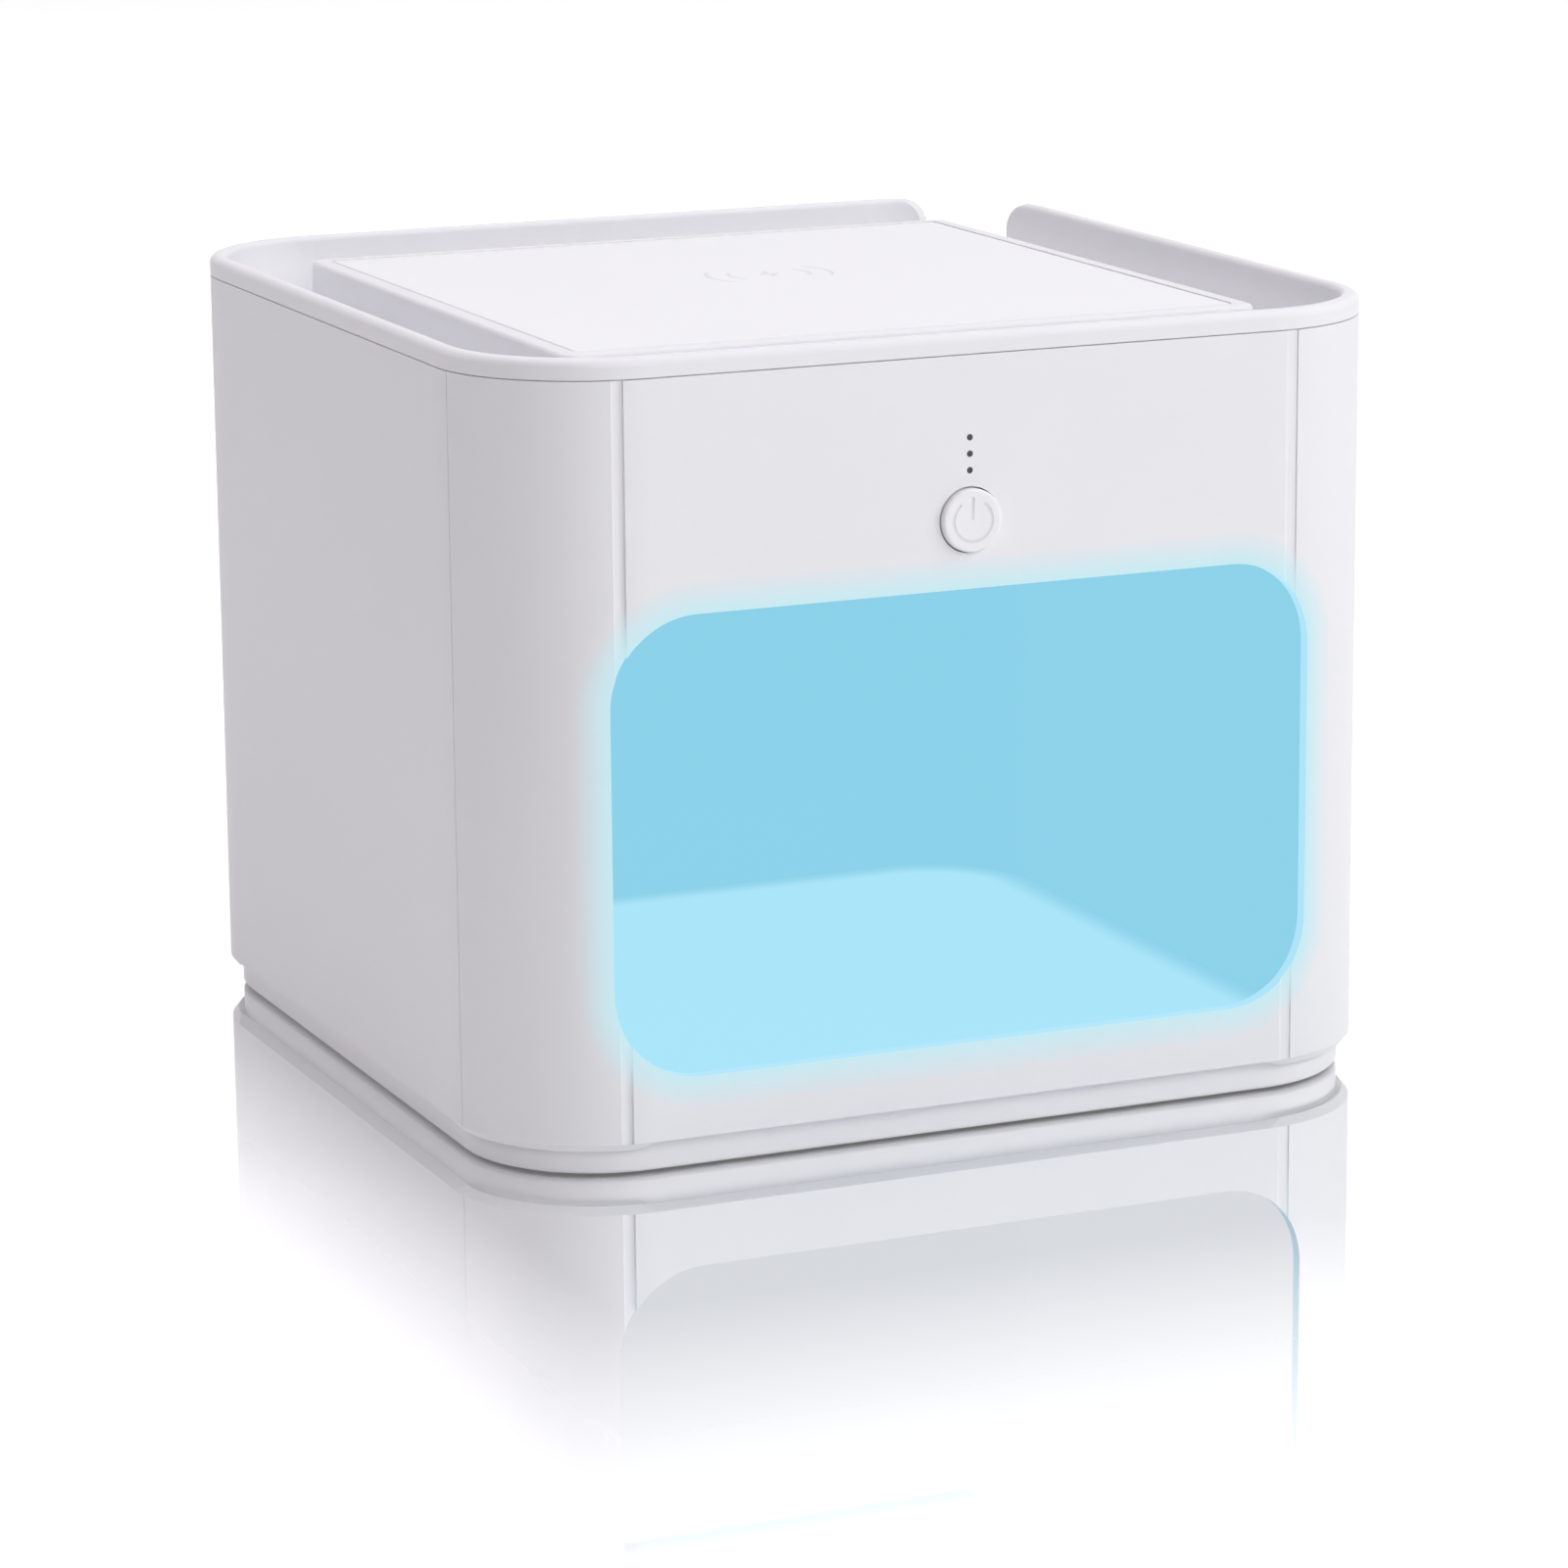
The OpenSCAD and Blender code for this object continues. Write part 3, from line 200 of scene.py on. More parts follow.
def noise(tree, where, scale, detail=3.0, rough=0.5):
    node = tree.nodes.new("ShaderNodeTexNoise")
    put(tree, where, node.inputs["Vector"])
    put(tree, scale, node.inputs["Scale"])
    put(tree, detail, node.inputs["Detail"])
    put(tree, rough, node.inputs["Roughness"])
    return node.outputs["Fac"]


def moved(tree, where, shift, scale=(1.0, 1.0, 1.0)):
    node = tree.nodes.new("ShaderNodeMapping")
    node.vector_type = "POINT"
    put(tree, where, node.inputs["Vector"])
    put(tree, shift, node.inputs["Location"])
    put(tree, scale, node.inputs["Scale"])
    return node.outputs["Vector"]


def newGroup(name, inputs, outputs):
    group = bpy.data.node_groups.new(name, "ShaderNodeTree")
    for label, kind, value in inputs:
        socket = group.interface.new_socket(name=label, in_out="INPUT",
                                            socket_type="NodeSocket" + kind)
        if value is not None:
            socket.default_value = value
    for label, kind in outputs:
        group.interface.new_socket(name=label, in_out="OUTPUT", socket_type="NodeSocket" + kind)
    given = group.nodes.new("NodeGroupInput").outputs
    out = group.nodes.new("NodeGroupOutput").inputs
    return group, given, out


def place(tree, group, values):
    node = tree.nodes.new("ShaderNodeGroup")
    node.node_tree = group
    for label, value in values.items():
        put(tree, value, node.inputs[label])
    return node.outputs


# the moulded skin: fine grain, with broad and faint changes in tone and gloss

skinNoise = {
    "fineDetail": 2.0,
    "broad": 22.0,
    "broadDetail": 4.0,
    "broadRough": 0.55,
    "span": (0.3, 0.7),      # between these values of the broad noise the tone changes
    "tone": (0.985, 1.0),
}
skinOutputs = [("Colour", "Color"), ("Roughness", "Float"), ("Height", "Float")]


def makeMouldedSkin(s):
    g, given, out = newGroup("mouldedSkin",
        [("Vector", "Vector", None), ("Colour", "Color", (0.8, 0.8, 0.8, 1.0)),
         ("Grain", "Float", 2600.0), ("Gloss", "Float", 0.4), ("Spread", "Float", 0.06)],
        skinOutputs)
    fine = noise(g, given["Vector"], given["Grain"], s["fineDetail"])
    broad = noise(g, given["Vector"], s["broad"], s["broadDetail"], s["broadRough"])
    tone = ramp(g, broad, *s["span"], *s["tone"])
    shade = g.nodes.new("ShaderNodeCombineColor")
    for channel in ("Red", "Green", "Blue"):
        put(g, tone, shade.inputs[channel])
    put(g, mixColour(g, 1.0, given["Colour"], shade.outputs["Color"], "MULTIPLY"), out["Colour"])
    around = calc(g, "SUBTRACT", broad, 0.5)
    put(g, calc(g, "MULTIPLY_ADD", around, given["Spread"], given["Gloss"]), out["Roughness"])
    put(g, fine, out["Height"])
    return g


# distance from a rectangle with round corners, which lies in the vector's first two directions

def makeRoundedDistance():
    g, given, out = newGroup("roundedDistance",
        [("Vector", "Vector", None), ("Half Width", "Float", 0.08), ("Half Height", "Float", 0.05),
         ("Radius", "Float", 0.02)],
        [("Distance", "Float")])
    axes = axesOf(g, given["Vector"])
    sides = []
    for axis, half in (("X", "Half Width"), ("Y", "Half Height")):
        reach = calc(g, "SUBTRACT", given[half], given["Radius"])
        sides.append(calc(g, "SUBTRACT", calc(g, "ABSOLUTE", axes[axis]), reach))
    far = farOut(g, *[calc(g, "MAXIMUM", side, 0.0) for side in sides])
    near = calc(g, "MINIMUM", calc(g, "MAXIMUM", *sides), 0.0)
    put(g, calc(g, "SUBTRACT", calc(g, "ADD", far, near), given["Radius"]), out["Distance"])
    return g


mouldedSkin = makeMouldedSkin(skinNoise)
roundedDistance = makeRoundedDistance()


def newMaterial(name, roughness, specular=0.5, metallic=0.0):
    material = bpy.data.materials.new(name)
    material.use_nodes = True
    tree = material.node_tree
    shader = tree.nodes["Principled BSDF"]
    put(tree, roughness, shader.inputs["Roughness"])
    put(tree, specular, shader.inputs["Specular IOR Level"])
    put(tree, metallic, shader.inputs["Metallic"])
    where = tree.nodes.new("ShaderNodeTexCoord").outputs["Object"]
    return material, tree, shader, where


def bumpy(tree, shader, height, depth):
    bump = tree.nodes.new("ShaderNodeBump")
    put(tree, 1.0, bump.inputs["Strength"])
    put(tree, depth, bump.inputs["Distance"])
    put(tree, height, bump.inputs["Height"])
    put(tree, bump.outputs["Normal"], shader.inputs["Normal"])


def colourOf(slot):
    return (*finishes[slot]["base_color"][:3], 1.0)


def skinOn(tree, where, colour, s):
    return place(tree, mouldedSkin, {"Vector": where, "Colour": colour, "Grain": s["grain"],
                                     "Gloss": s["gloss"], "Spread": s["spread"]})


def skinned(name, slot, s):
    material, tree, shader, where = newMaterial(name, s["gloss"], s.get("specular", 0.25))
    skin = skinOn(tree, where, s.get("colour") or colourOf(slot), s)
    put(tree, skin["Colour"], shader.inputs["Base Color"])
    put(tree, skin["Roughness"], shader.inputs["Roughness"])
    bumpy(tree, shader, skin["Height"], s["depth"])
    return material, tree, shader, where, skin


# the plastics: grain per metre, gloss with its spread, and depth of the grain

plastics = {
    "housing": {"grain": 2600.0, "gloss": 0.5, "spread": 0.08, "depth": 0.02 * mm},
    "plate": {"grain": 1800.0, "gloss": 0.34, "spread": 0.06, "depth": 0.006 * mm},
    "button": {"grain": 1800.0, "gloss": 0.3, "spread": 0.06, "depth": 0.004 * mm},
    # the chamber's own colour is nearly black under its painted glow
    "chamber": {"grain": 1500.0, "gloss": 0.6, "spread": 0.05, "depth": 0.01 * mm,
                "colour": (0.02, 0.04, 0.05, 1.0), "specular": 0.05},
    "tips": {"grain": 1500.0, "gloss": 0.3, "spread": 0.05, "depth": 0.005 * mm, "specular": 0.5},
    "feet": {"grain": 1200.0, "gloss": 0.75, "spread": 0.1, "depth": 0.05 * mm, "specular": 0.3},
    "dark": {"grain": 1600.0, "gloss": 0.5, "spread": 0.12, "depth": 0.03 * mm},
    "wire": {"grain": 900.0, "gloss": 0.45, "spread": 0.1, "depth": 0.02 * mm},
    "sign": {"grain": 1800.0, "gloss": 0.3, "spread": 0.05, "depth": 0.002 * mm,
             "colour": (0.74, 0.74, 0.765, 1.0)},
}


def makePlain(name, slot, kind):
    return skinned(name, slot, plastics[kind])[0]


# the opening in the front, and the painted glow round it: the chamber's light painted as emission
# on the housing

opening = {
    "halfWidth": 80.5 * mm,
    "low": 20.6 * mm,
    "high": 118.4 * mm,
    "radius": 19.0 * mm,
}
glow = {
    "colour": (0.53, 0.80, 0.87, 1.0),
    "reach": 7.2 * mm,      # how far it runs out from the opening's edge
    "share": 0.93,          # of the wall's own colour that the painted glow covers at the edge
    # painted glow on the cut edge of the wall round the opening
    "edgeGlow": (0.40, 0.745, 0.915, 1.0),
    "edgeGlowReach": 0.4 * mm,
    "edgeGlowTurn": 0.4,         # a cut edge's normal points to the front by less than this
    # the wall's own colour gives way to black where the painted glow covers it
    "dark": (0.0, 0.0, 0.0, 1.0),
}


def addGlow(tree, shader, where, colour):
    middle = (opening["low"] + opening["high"]) / 2
    axes = axesOf(tree, where)
    flat = tree.nodes.new("ShaderNodeCombineXYZ")
    put(tree, axes["X"], flat.inputs["X"])
    put(tree, calc(tree, "SUBTRACT", axes["Z"], middle), flat.inputs["Y"])
    away = place(tree, roundedDistance, {
        "Vector": flat.outputs[0], "Half Width": opening["halfWidth"],
        "Half Height": (opening["high"] - opening["low"]) / 2,
        "Radius": opening["radius"]})["Distance"]
    # the painted glow is kept out of polished reflections
    direct = calc(tree, "SUBTRACT", 1.0, raysOf(tree)["Is Glossy Ray"])
    fading = ramp(tree, away, 0.0, glow["reach"], glow["share"], 0.0)
    cover = calc(tree, "MULTIPLY", fading, direct)
    # painted glow on the cut edge of the wall, all round the opening
    turned = axesOf(tree, tree.nodes.new("ShaderNodeTexCoord").outputs["Normal"])
    sideways = calc(tree, "LESS_THAN", calc(tree, "ABSOLUTE", turned["Y"]), glow["edgeGlowTurn"])
    cut = calc(tree, "MULTIPLY", calc(tree, "LESS_THAN", away, glow["edgeGlowReach"]), sideways)
    cut = calc(tree, "MULTIPLY", cut, direct)
    # where the painted glow covers the wall, its own colour is turned to black
    glowCover = calc(tree, "MAXIMUM", cover, cut)
    put(tree, mixColour(tree, glowCover, colour, glow["dark"]), shader.inputs["Base Color"])
    soft = mixColour(tree, cover, glow["dark"], glow["colour"])
    put(tree, mixColour(tree, cut, soft, glow["edgeGlow"]), shader.inputs["Emission Color"])
    put(tree, 1.0, shader.inputs["Emission Strength"])


def makeLitFront():
    material, tree, shader, where, skin = skinned("housingLitFront", "housing", plastics["housing"])
    addGlow(tree, shader, where, skin["Colour"])
    return material


# painted light of the chamber: its walls and floor glow in these colours, the floor lighter than
# the walls
chamberLight = {
    "wall": (0.262, 0.631, 0.799, 1.0),
    "floor": (0.392, 0.758, 0.917, 1.0),
    "share": 0.97,          # of the colour that is given off, and the rest is lit
    "mirrored": (0.66, 0.66, 0.68, 1.0),   # grey painted reflection of the glow, as polished surfaces show it
    "softEdge": 9.0 * mm,   # width of the soft line between the painted glow of floor and walls
    "corner": 26.0 * mm,    # radius of that line at the back corners
    "wallThick": 2.0 * mm,
    "runOut": 30.0 * mm,    # the line runs out past the front, so its front corners don't show
    "sill": 7.0 * mm,       # depth of the slightly darker strip of painted glow along the front
    "sillSoft": 1.5 * mm,
    "sillColour": (0.381, 0.741, 0.905, 1.0),
}


# the chamber gives off painted light, grey in polished reflections
def giveOff(tree, shader, colour):
    light = mixColour(tree, raysOf(tree)["Is Glossy Ray"], colour, chamberLight["mirrored"])
    put(tree, light, shader.inputs["Emission Color"])
    put(tree, chamberLight["share"], shader.inputs["Emission Strength"])


def makeChamberWalls():
    material, tree, shader = skinned("chamberWalls", "chamber", plastics["chamber"])[:3]
    giveOff(tree, shader, chamberLight["wall"])
    return material


def makeChamberFloor(c):
    material, tree, shader, where = skinned("chamberFloor", "chamber", plastics["chamber"])[:4]
    low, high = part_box("chamber_liner")
    back, front = high.y - c["wallThick"], low.y
    halfDepth = (back - front) / 2 + c["runOut"]
    flat = moved(tree, where, (0.0, halfDepth - back, 0.0))
    edge = place(tree, roundedDistance, {
        "Vector": flat, "Half Width": opening["halfWidth"], "Half Height": halfDepth,
        "Radius": c["corner"]})["Distance"]
    soft = ramp(tree, calc(tree, "MULTIPLY", edge, -1.0), 0.0, c["softEdge"], smooth=True)
    # the painted glow is a little darker in a strip along the front
    sillEnd = front + c["sill"]
    sill = ramp(tree, axesOf(tree, where)["Y"], sillEnd - c["sillSoft"], sillEnd + c["sillSoft"],
                1.0, 0.0, True)
    plain = mixColour(tree, soft, c["wall"], c["floor"])
    giveOff(tree, shader, mixColour(tree, sill, plain, c["sillColour"]))
    return material


# metals: streaks along one direction

brushed = {
    "stretch": (9000.0, 300.0, 300.0),
    "lineRough": 0.6,
    "cloud": 160.0,
    "cloudSpan": (0.35, 0.7),
    "cloudShare": 0.25,
    "dull": (0.28, 0.27, 0.26, 1.0),
    "spread": 0.25,
    "depth": 0.01 * mm,
}


def makeBrushedMetal(b):
    g, given, out = newGroup("brushedMetal",
        [("Vector", "Vector", None), ("Colour", "Color", (0.6, 0.6, 0.6, 1.0)),
         ("Gloss", "Float", 0.3)],
        skinOutputs)
    drawn = moved(g, given["Vector"], (0.0, 0.0, 0.0), b["stretch"])
    lines = noise(g, drawn, 1.0, rough=b["lineRough"])
    cloud = ramp(g, noise(g, given["Vector"], b["cloud"]), *b["cloudSpan"], 0.0, b["cloudShare"])
    put(g, mixColour(g, cloud, given["Colour"], b["dull"]), out["Colour"])
    around = calc(g, "SUBTRACT", lines, 0.5)
    put(g, calc(g, "MULTIPLY_ADD", around, b["spread"], given["Gloss"]), out["Roughness"])
    put(g, lines, out["Height"])
    return g


brushedMetal = makeBrushedMetal(brushed)


def makeMetal(name, slot, gloss):
    material, tree, shader, where = newMaterial(name, gloss, metallic=1.0)
    metal = place(tree, brushedMetal, {"Vector": where, "Colour": colourOf(slot), "Gloss": gloss})
    put(tree, metal["Colour"], shader.inputs["Base Color"])
    put(tree, metal["Roughness"], shader.inputs["Roughness"])
    bumpy(tree, shader, metal["Height"], brushed["depth"])
    return material


# the boards: solder mask over a pattern of tracks

boards = {
    "grain": 900.0,
    "gloss": 0.3,
    "spread": 0.1,
    "depth": 0.03 * mm,
    "tracks": {"Scale": 400.0, "Mortar Size": 0.06, "Brick Width": 1.7, "Row Height": 0.5},
    "trackColour": (0.12, 0.36, 0.16, 1.0),
    "trackShare": 0.5,
}


def makeBoard(b):
    material, tree, shader, where = newMaterial("boardMask", b["gloss"])
    tracks = tree.nodes.new("ShaderNodeTexBrick")
    put(tree, where, tracks.inputs["Vector"])
    for label, value in b["tracks"].items():
        put(tree, value, tracks.inputs[label])
    lines = tracks.outputs["Fac"]
    skin = skinOn(tree, where, colourOf("board"), b)
    shown = calc(tree, "MULTIPLY", lines, b["trackShare"])
    colour = mixColour(tree, shown, skin["Colour"], b["trackColour"])
    put(tree, colour, shader.inputs["Base Color"])
    put(tree, skin["Roughness"], shader.inputs["Roughness"])
    bumpy(tree, shader, lines, b["depth"])
    return material


# the coil: rings of enamelled wire round its middle, each with a painted highlight

winding = {
    "gloss": 0.25,
    "metallic": 0.85,
    "pitch": 0.33 * mm,
    "turnHighlight": (0.82, 0.44, 0.2, 1.0),
    "turnHighlightShare": 0.6,
    "depth": 0.08 * mm,
}


def makeWinding(w):
    material, tree, shader, where = newMaterial("enamelWinding", w["gloss"], metallic=w["metallic"])
    low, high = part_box("ferrite_sheet")
    centre = (low + high) / 2
    away = lengthOf(tree, moved(tree, where, (-centre.x, -centre.y, 0.0), (1.0, 1.0, 0.0)))
    turns = calc(tree, "SINE", calc(tree, "MULTIPLY", away, 2 * math.pi / w["pitch"]))
    # a painted highlight along each turn of the wire
    shade = ramp(tree, turns, -1.0, 1.0, 0.0, w["turnHighlightShare"])
    colour = mixColour(tree, shade, colourOf("copper"), w["turnHighlight"])
    put(tree, colour, shader.inputs["Base Color"])
    bumpy(tree, shader, turns, w["depth"])
    return material


# the clear window in front of the lamps, slightly smeared

clear = {
    "gloss": 0.08,
    "through": 0.9,
    "ior": 1.46,
    "smear": 45.0,
    "tints": ((0.86, 0.96, 1.0, 1.0), (0.93, 0.99, 1.0, 1.0)),
    "span": (0.3, 0.7),
    "roughness": (0.05, 0.13),
}


def makeClearWindow(c):
    material, tree, shader, where = newMaterial("clearWindow", c["gloss"])
    put(tree, c["through"], shader.inputs["Transmission Weight"])
    put(tree, c["ior"], shader.inputs["IOR"])
    smear = noise(tree, where, c["smear"])
    put(tree, mixColour(tree, smear, *c["tints"]), shader.inputs["Base Color"])
    put(tree, ramp(tree, smear, *c["span"], *c["roughness"]), shader.inputs["Roughness"])
    return material


domes = {
    "gloss": 0.25,
    "grain": 700.0,
    "detail": 2.0,
    "pale": (0.98, 0.93, 0.72, 1.0),
    "light": (0.45, 0.62, 1.0, 1.0),
}


def makeLamps(d):
    material, tree, shader, where = newMaterial("lampDomes", d["gloss"])
    shell = noise(tree, where, d["grain"], d["detail"])
    put(tree, mixColour(tree, shell, colourOf("lamps"), d["pale"]), shader.inputs["Base Color"])
    put(tree, d["light"], shader.inputs["Emission Color"])
    put(tree, 1.0, shader.inputs["Emission Strength"])
    return material


# the indicator lights: pale guides, darker at the ends that show

tips = {
    "darkEndSpan": (0.4 * mm, 1.2 * mm),   # the darker end fades over this depth
    "darkEnd": (0.035, 0.03, 0.035, 1.0),
}


def makeLightTips(t):
    material, tree, shader, where, skin = skinned("lightTips", "light_tips", plastics["tips"])
    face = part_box("light_guide")[0].y
    start, end = t["darkEndSpan"]
    darkEnd = ramp(tree, axesOf(tree, where)["Y"], face + start, face + end, 1.0, 0.0)
    put(tree, mixColour(tree, darkEnd, skin["Colour"], t["darkEnd"]), shader.inputs["Base Color"])
    return material


looks = {
    "housing": makePlain("housingWhite", "housing", "housing"),
    "litFront": makeLitFront(),
    "plate": makePlain("plateWhite", "plate", "plate"),
    "button": makePlain("buttonWhite", "button", "button"),
    "chamberWalls": makeChamberWalls(),
    "chamberFloor": makeChamberFloor(chamberLight),
    "lens": makeClearWindow(clear),
    "light_tips": makeLightTips(tips),
    "lamps": makeLamps(domes),
    "feet": makePlain("footRubber", "feet", "feet"),
    "dark_plastic": makePlain("darkPlastic", "dark_plastic", "dark"),
    "board": makeBoard(boards),
    "lamp_board": makeMetal("lampBoardMetal", "lamp_board", 0.35),
    "copper": makeWinding(winding),
    "steel": makeMetal("screwSteel", "steel", 0.3),
    "socket_steel": makeMetal("socketSteel", "socket_steel", 0.25),
    "wire_red": makePlain("wireRed", "wire_red", "wire"),
    "wire_black": makePlain("wireBlack", "wire_black", "wire"),
    "wire_white": makePlain("wireWhite", "wire_white", "wire"),
}
litNodes = {"front_left_post", "front_right_post", "front_upper_panel", "front_lower_panel"}


def lookOf(name, slot):
    if name in litNodes:
        return looks["litFront"]
    if slot == "chamber":
        return looks["chamberFloor" if name == "chamber_floor" else "chamberWalls"]
    return looks[slot]


def dress():
    for part in frame["record"]["subparts"]:
        mesh = nodes[part["node"]].data
        mesh.materials.clear()
        mesh.materials.append(lookOf(part["node"], part["material_slot"]))


dress()
print("materials made:", len(looks))


# shaping helpers

shaping = {
    "merge": 0.002 * mm,   # corners closer than this are one
    "smooth": 30.0,        # degrees up to which an edge is shaded soft
    "facing": 0.9,         # a face looks along an axis when its normal passes this
}


def pickFaces(test):
    bpy.ops.object.mode_set(mode="OBJECT")
    bpy.context.tool_settings.mesh_select_mode = (False, False, True)
    mesh = bpy.context.object.data
    mesh.vertices.foreach_set("select", [False] * len(mesh.vertices))
    mesh.edges.foreach_set("select", [False] * len(mesh.edges))
    for face in mesh.polygons:
        face.select = test(face)
    bpy.ops.object.mode_set(mode="EDIT")
    bpy.ops.mesh.select_mode(type="FACE")


def settle(piece, look, body):
    takeUp(piece)
    bpy.ops.object.transform_apply(location=True, rotation=True, scale=True)
    bpy.ops.object.mode_set(mode="EDIT")
    bpy.ops.mesh.select_all(action="SELECT")
    bpy.ops.mesh.remove_doubles(threshold=shaping["merge"])
    bpy.ops.mesh.normals_make_consistent(inside=False)
    bpy.ops.object.mode_set(mode="OBJECT")
    bpy.ops.object.shade_smooth_by_angle(angle=math.radians(shaping["smooth"]))
    piece.data.materials.clear()
    piece.data.materials.append(look)
    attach(piece, body)


def cutWith(piece, cutter):
    takeUp(piece)
    cut = piece.modifiers.new("cut", "BOOLEAN")
    cut.operation = "DIFFERENCE"
    cut.solver = "EXACT"
    cut.object = cutter
    bpy.ops.object.modifier_apply(modifier="cut")
    bpy.data.objects.remove(cutter)


# the button: a dished cap with a sunk power sign, its flange and its stem

button = {
    "sides": 96,
    "capRadius": 6.7 * mm,
    "capLength": 4.5 * mm,       # from the face to the flange
    "edgeRound": 0.6 * mm,
    "edgeSteps": 8,
    "dishRadius": 5.6 * mm,
    "dishDepth": 0.28 * mm,
    "dishLip": 0.25 * mm,        # width of the dish's first ring
    "dishRings": (3.2 * mm, 2.2 * mm, 1.2 * mm, 0.5 * mm),
    "ringOuter": 4.7 * mm,
    "ringInner": 4.05 * mm,
    "ringGap": 36.0,             # degrees each side of the top that stay bare
    "signDepth": 0.14 * mm,
    # painted shade in the sunk sign
    "signShade": (0.77, 0.77, 0.80, 1.0),
    "barWidth": 0.75 * mm,
    "barLength": 4.8 * mm,
    "barUp": 0.1 * mm,           # the bar's lower end above the button's middle
    "flangeRadius": 8.0 * mm,
    "flangeThick": 1.5 * mm,
    "stemRadius": 2.5 * mm,
    "nearFace": 2.0 * mm,        # what lies less deep than this belongs to the face
}


def makeButtonLook(b):
    material, tree, shader, where, skin = skinned("buttonWhite", "button", plastics["button"])
    low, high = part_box("power_button")
    mid = (low.z + high.z) / 2
    axes = axesOf(tree, moved(tree, where, (0.0, 0.0, -mid)))
    across, up = axes["X"], axes["Z"]
    away = farOut(tree, across, up)
    middle = (b["ringOuter"] + b["ringInner"]) / 2
    band = calc(tree, "ABSOLUTE", calc(tree, "SUBTRACT", away, middle))
    ring = calc(tree, "LESS_THAN", band, (b["ringOuter"] - b["ringInner"]) / 2)
    steep = math.cos(math.radians(b["ringGap"]))
    gap = calc(tree, "GREATER_THAN", calc(tree, "DIVIDE", up, away), steep)
    ring = calc(tree, "MULTIPLY", ring, calc(tree, "SUBTRACT", 1.0, gap))
    side = calc(tree, "LESS_THAN", calc(tree, "ABSOLUTE", across), b["barWidth"] / 2)
    tall = calc(tree, "ABSOLUTE", calc(tree, "SUBTRACT", up, b["barLength"] / 2 + b["barUp"]))
    bar = calc(tree, "MULTIPLY", side, calc(tree, "LESS_THAN", tall, b["barLength"] / 2))
    front = calc(tree, "LESS_THAN", axes["Y"], low.y + b["nearFace"] / 2)
    sunk = calc(tree, "MULTIPLY", calc(tree, "MAXIMUM", ring, bar), front)
    # the sunk sign is painted darker: painted shade in its groove
    colour = mixColour(tree, sunk, skin["Colour"], b["signShade"])
    put(tree, colour, shader.inputs["Base Color"])
    return material


def dishAt(b, r):
    return b["dishDepth"] * (1 - (r / b["dishRadius"]) ** 2)


def makeButton(b):
    low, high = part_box("power_button")
    face, mid = low.y, (low.z + high.z) / 2
    centre = Vector((0.0, face, mid))
    letGo()
    bpy.ops.mesh.primitive_cylinder_add(
        vertices=b["sides"], radius=b["capRadius"], depth=b["capLength"],
        location=(0.0, face + b["capLength"] / 2, mid), rotation=(math.pi / 2, 0.0, 0.0))
    piece = bpy.context.object
    piece.name = "power_cap"
    bpy.ops.object.transform_apply(location=True, rotation=True, scale=True)

    # the flange and the stem grow from the back face
    pickFaces(lambda f: f.normal.y > shaping["facing"])
    stemLength = high.y - face - b["capLength"] - b["flangeThick"]
    steps = [(b["flangeRadius"] / b["capRadius"], b["flangeThick"]),
             (b["stemRadius"] / b["flangeRadius"], stemLength)]
    for scale, length in steps:
        bpy.ops.mesh.extrude_region_move()
        bpy.ops.transform.resize(value=(scale, 1.0, scale), center_override=centre)
        bpy.ops.mesh.extrude_region_move(TRANSFORM_OT_translate={"value": (0.0, length, 0.0)})

    def onFace(f):
        return f.normal.y < -shaping["facing"] and f.center.y < face + b["nearFace"]

    # the rounded edge of the face
    pickFaces(onFace)
    bpy.ops.mesh.bevel(offset=b["edgeRound"], segments=b["edgeSteps"], affect="EDGES")

    # rings towards the middle follow the dish
    flatRadius = b["capRadius"] - b["edgeRound"]
    rings = [b["dishRadius"], b["dishRadius"] - b["dishLip"], b["ringOuter"], b["ringInner"],
             *b["dishRings"]]
    last, deep = flatRadius, 0.0
    for r in rings:
        pickFaces(lambda f: onFace(f) and len(f.vertices) > 4)
        bpy.ops.mesh.inset(thickness=(last - r) * math.cos(math.pi / b["sides"]),
                           depth=deep - dishAt(b, r))
        last, deep = r, dishAt(b, r)

    # the ring of the sign, open at the top
    def inRing(f):
        away = math.hypot(f.center.x, f.center.z - mid)
        turn = abs(math.degrees(math.atan2(f.center.x, f.center.z - mid)))
        return b["ringInner"] < away < b["ringOuter"] and turn > b["ringGap"] and onFace(f)
    pickFaces(inRing)
    down = (0.0, b["signDepth"], 0.0)
    bpy.ops.mesh.extrude_region_move(TRANSFORM_OT_translate={"value": down})

    # the bar of the sign
    letGo()
    spot = Vector((0.0, face, mid + b["barLength"] / 2 + b["barUp"]))
    bpy.ops.mesh.primitive_cube_add(size=1.0, location=spot)
    bar = bpy.context.object
    bpy.ops.object.mode_set(mode="EDIT")
    reach = b["signDepth"] + dishAt(b, b["barLength"] / 2)
    bpy.ops.transform.resize(value=(b["barWidth"], 2 * reach, b["barLength"]),
                             center_override=spot)
    bpy.ops.object.mode_set(mode="OBJECT")
    cutWith(piece, bar)
    settle(piece, makeButtonLook(b), "button")
    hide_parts("power_button")
    print("button made,", len(piece.data.polygons), "faces")


# the charging sign on the plate: two arcs on each side of a bolt, printed thinly

sign = {
    "centre": (5.0 * mm, 11.8 * mm),
    "line": 0.95 * mm,
    "thick": 0.04 * mm,
    "sunk": 0.02 * mm,
    "sides": 120,            # of the circle that an arc is cut from
    "arcs": [(9.2 * mm, 33.0), (14.2 * mm, 37.0)],   # radius and half angle
    # the bolt's corners from the centre, in mm
    "bolt": [(1.0, 5.2), (-2.6, -0.7), (-0.4, -0.5), (-1.0, -5.2), (2.6, 0.7), (0.4, 0.5)],
}


def thicken(piece, thick):
    takeUp(piece)
    solid = piece.modifiers.new("thick", "SOLIDIFY")
    solid.thickness = thick
    solid.offset = 1.0
    bpy.ops.object.modifier_apply(modifier="thick")


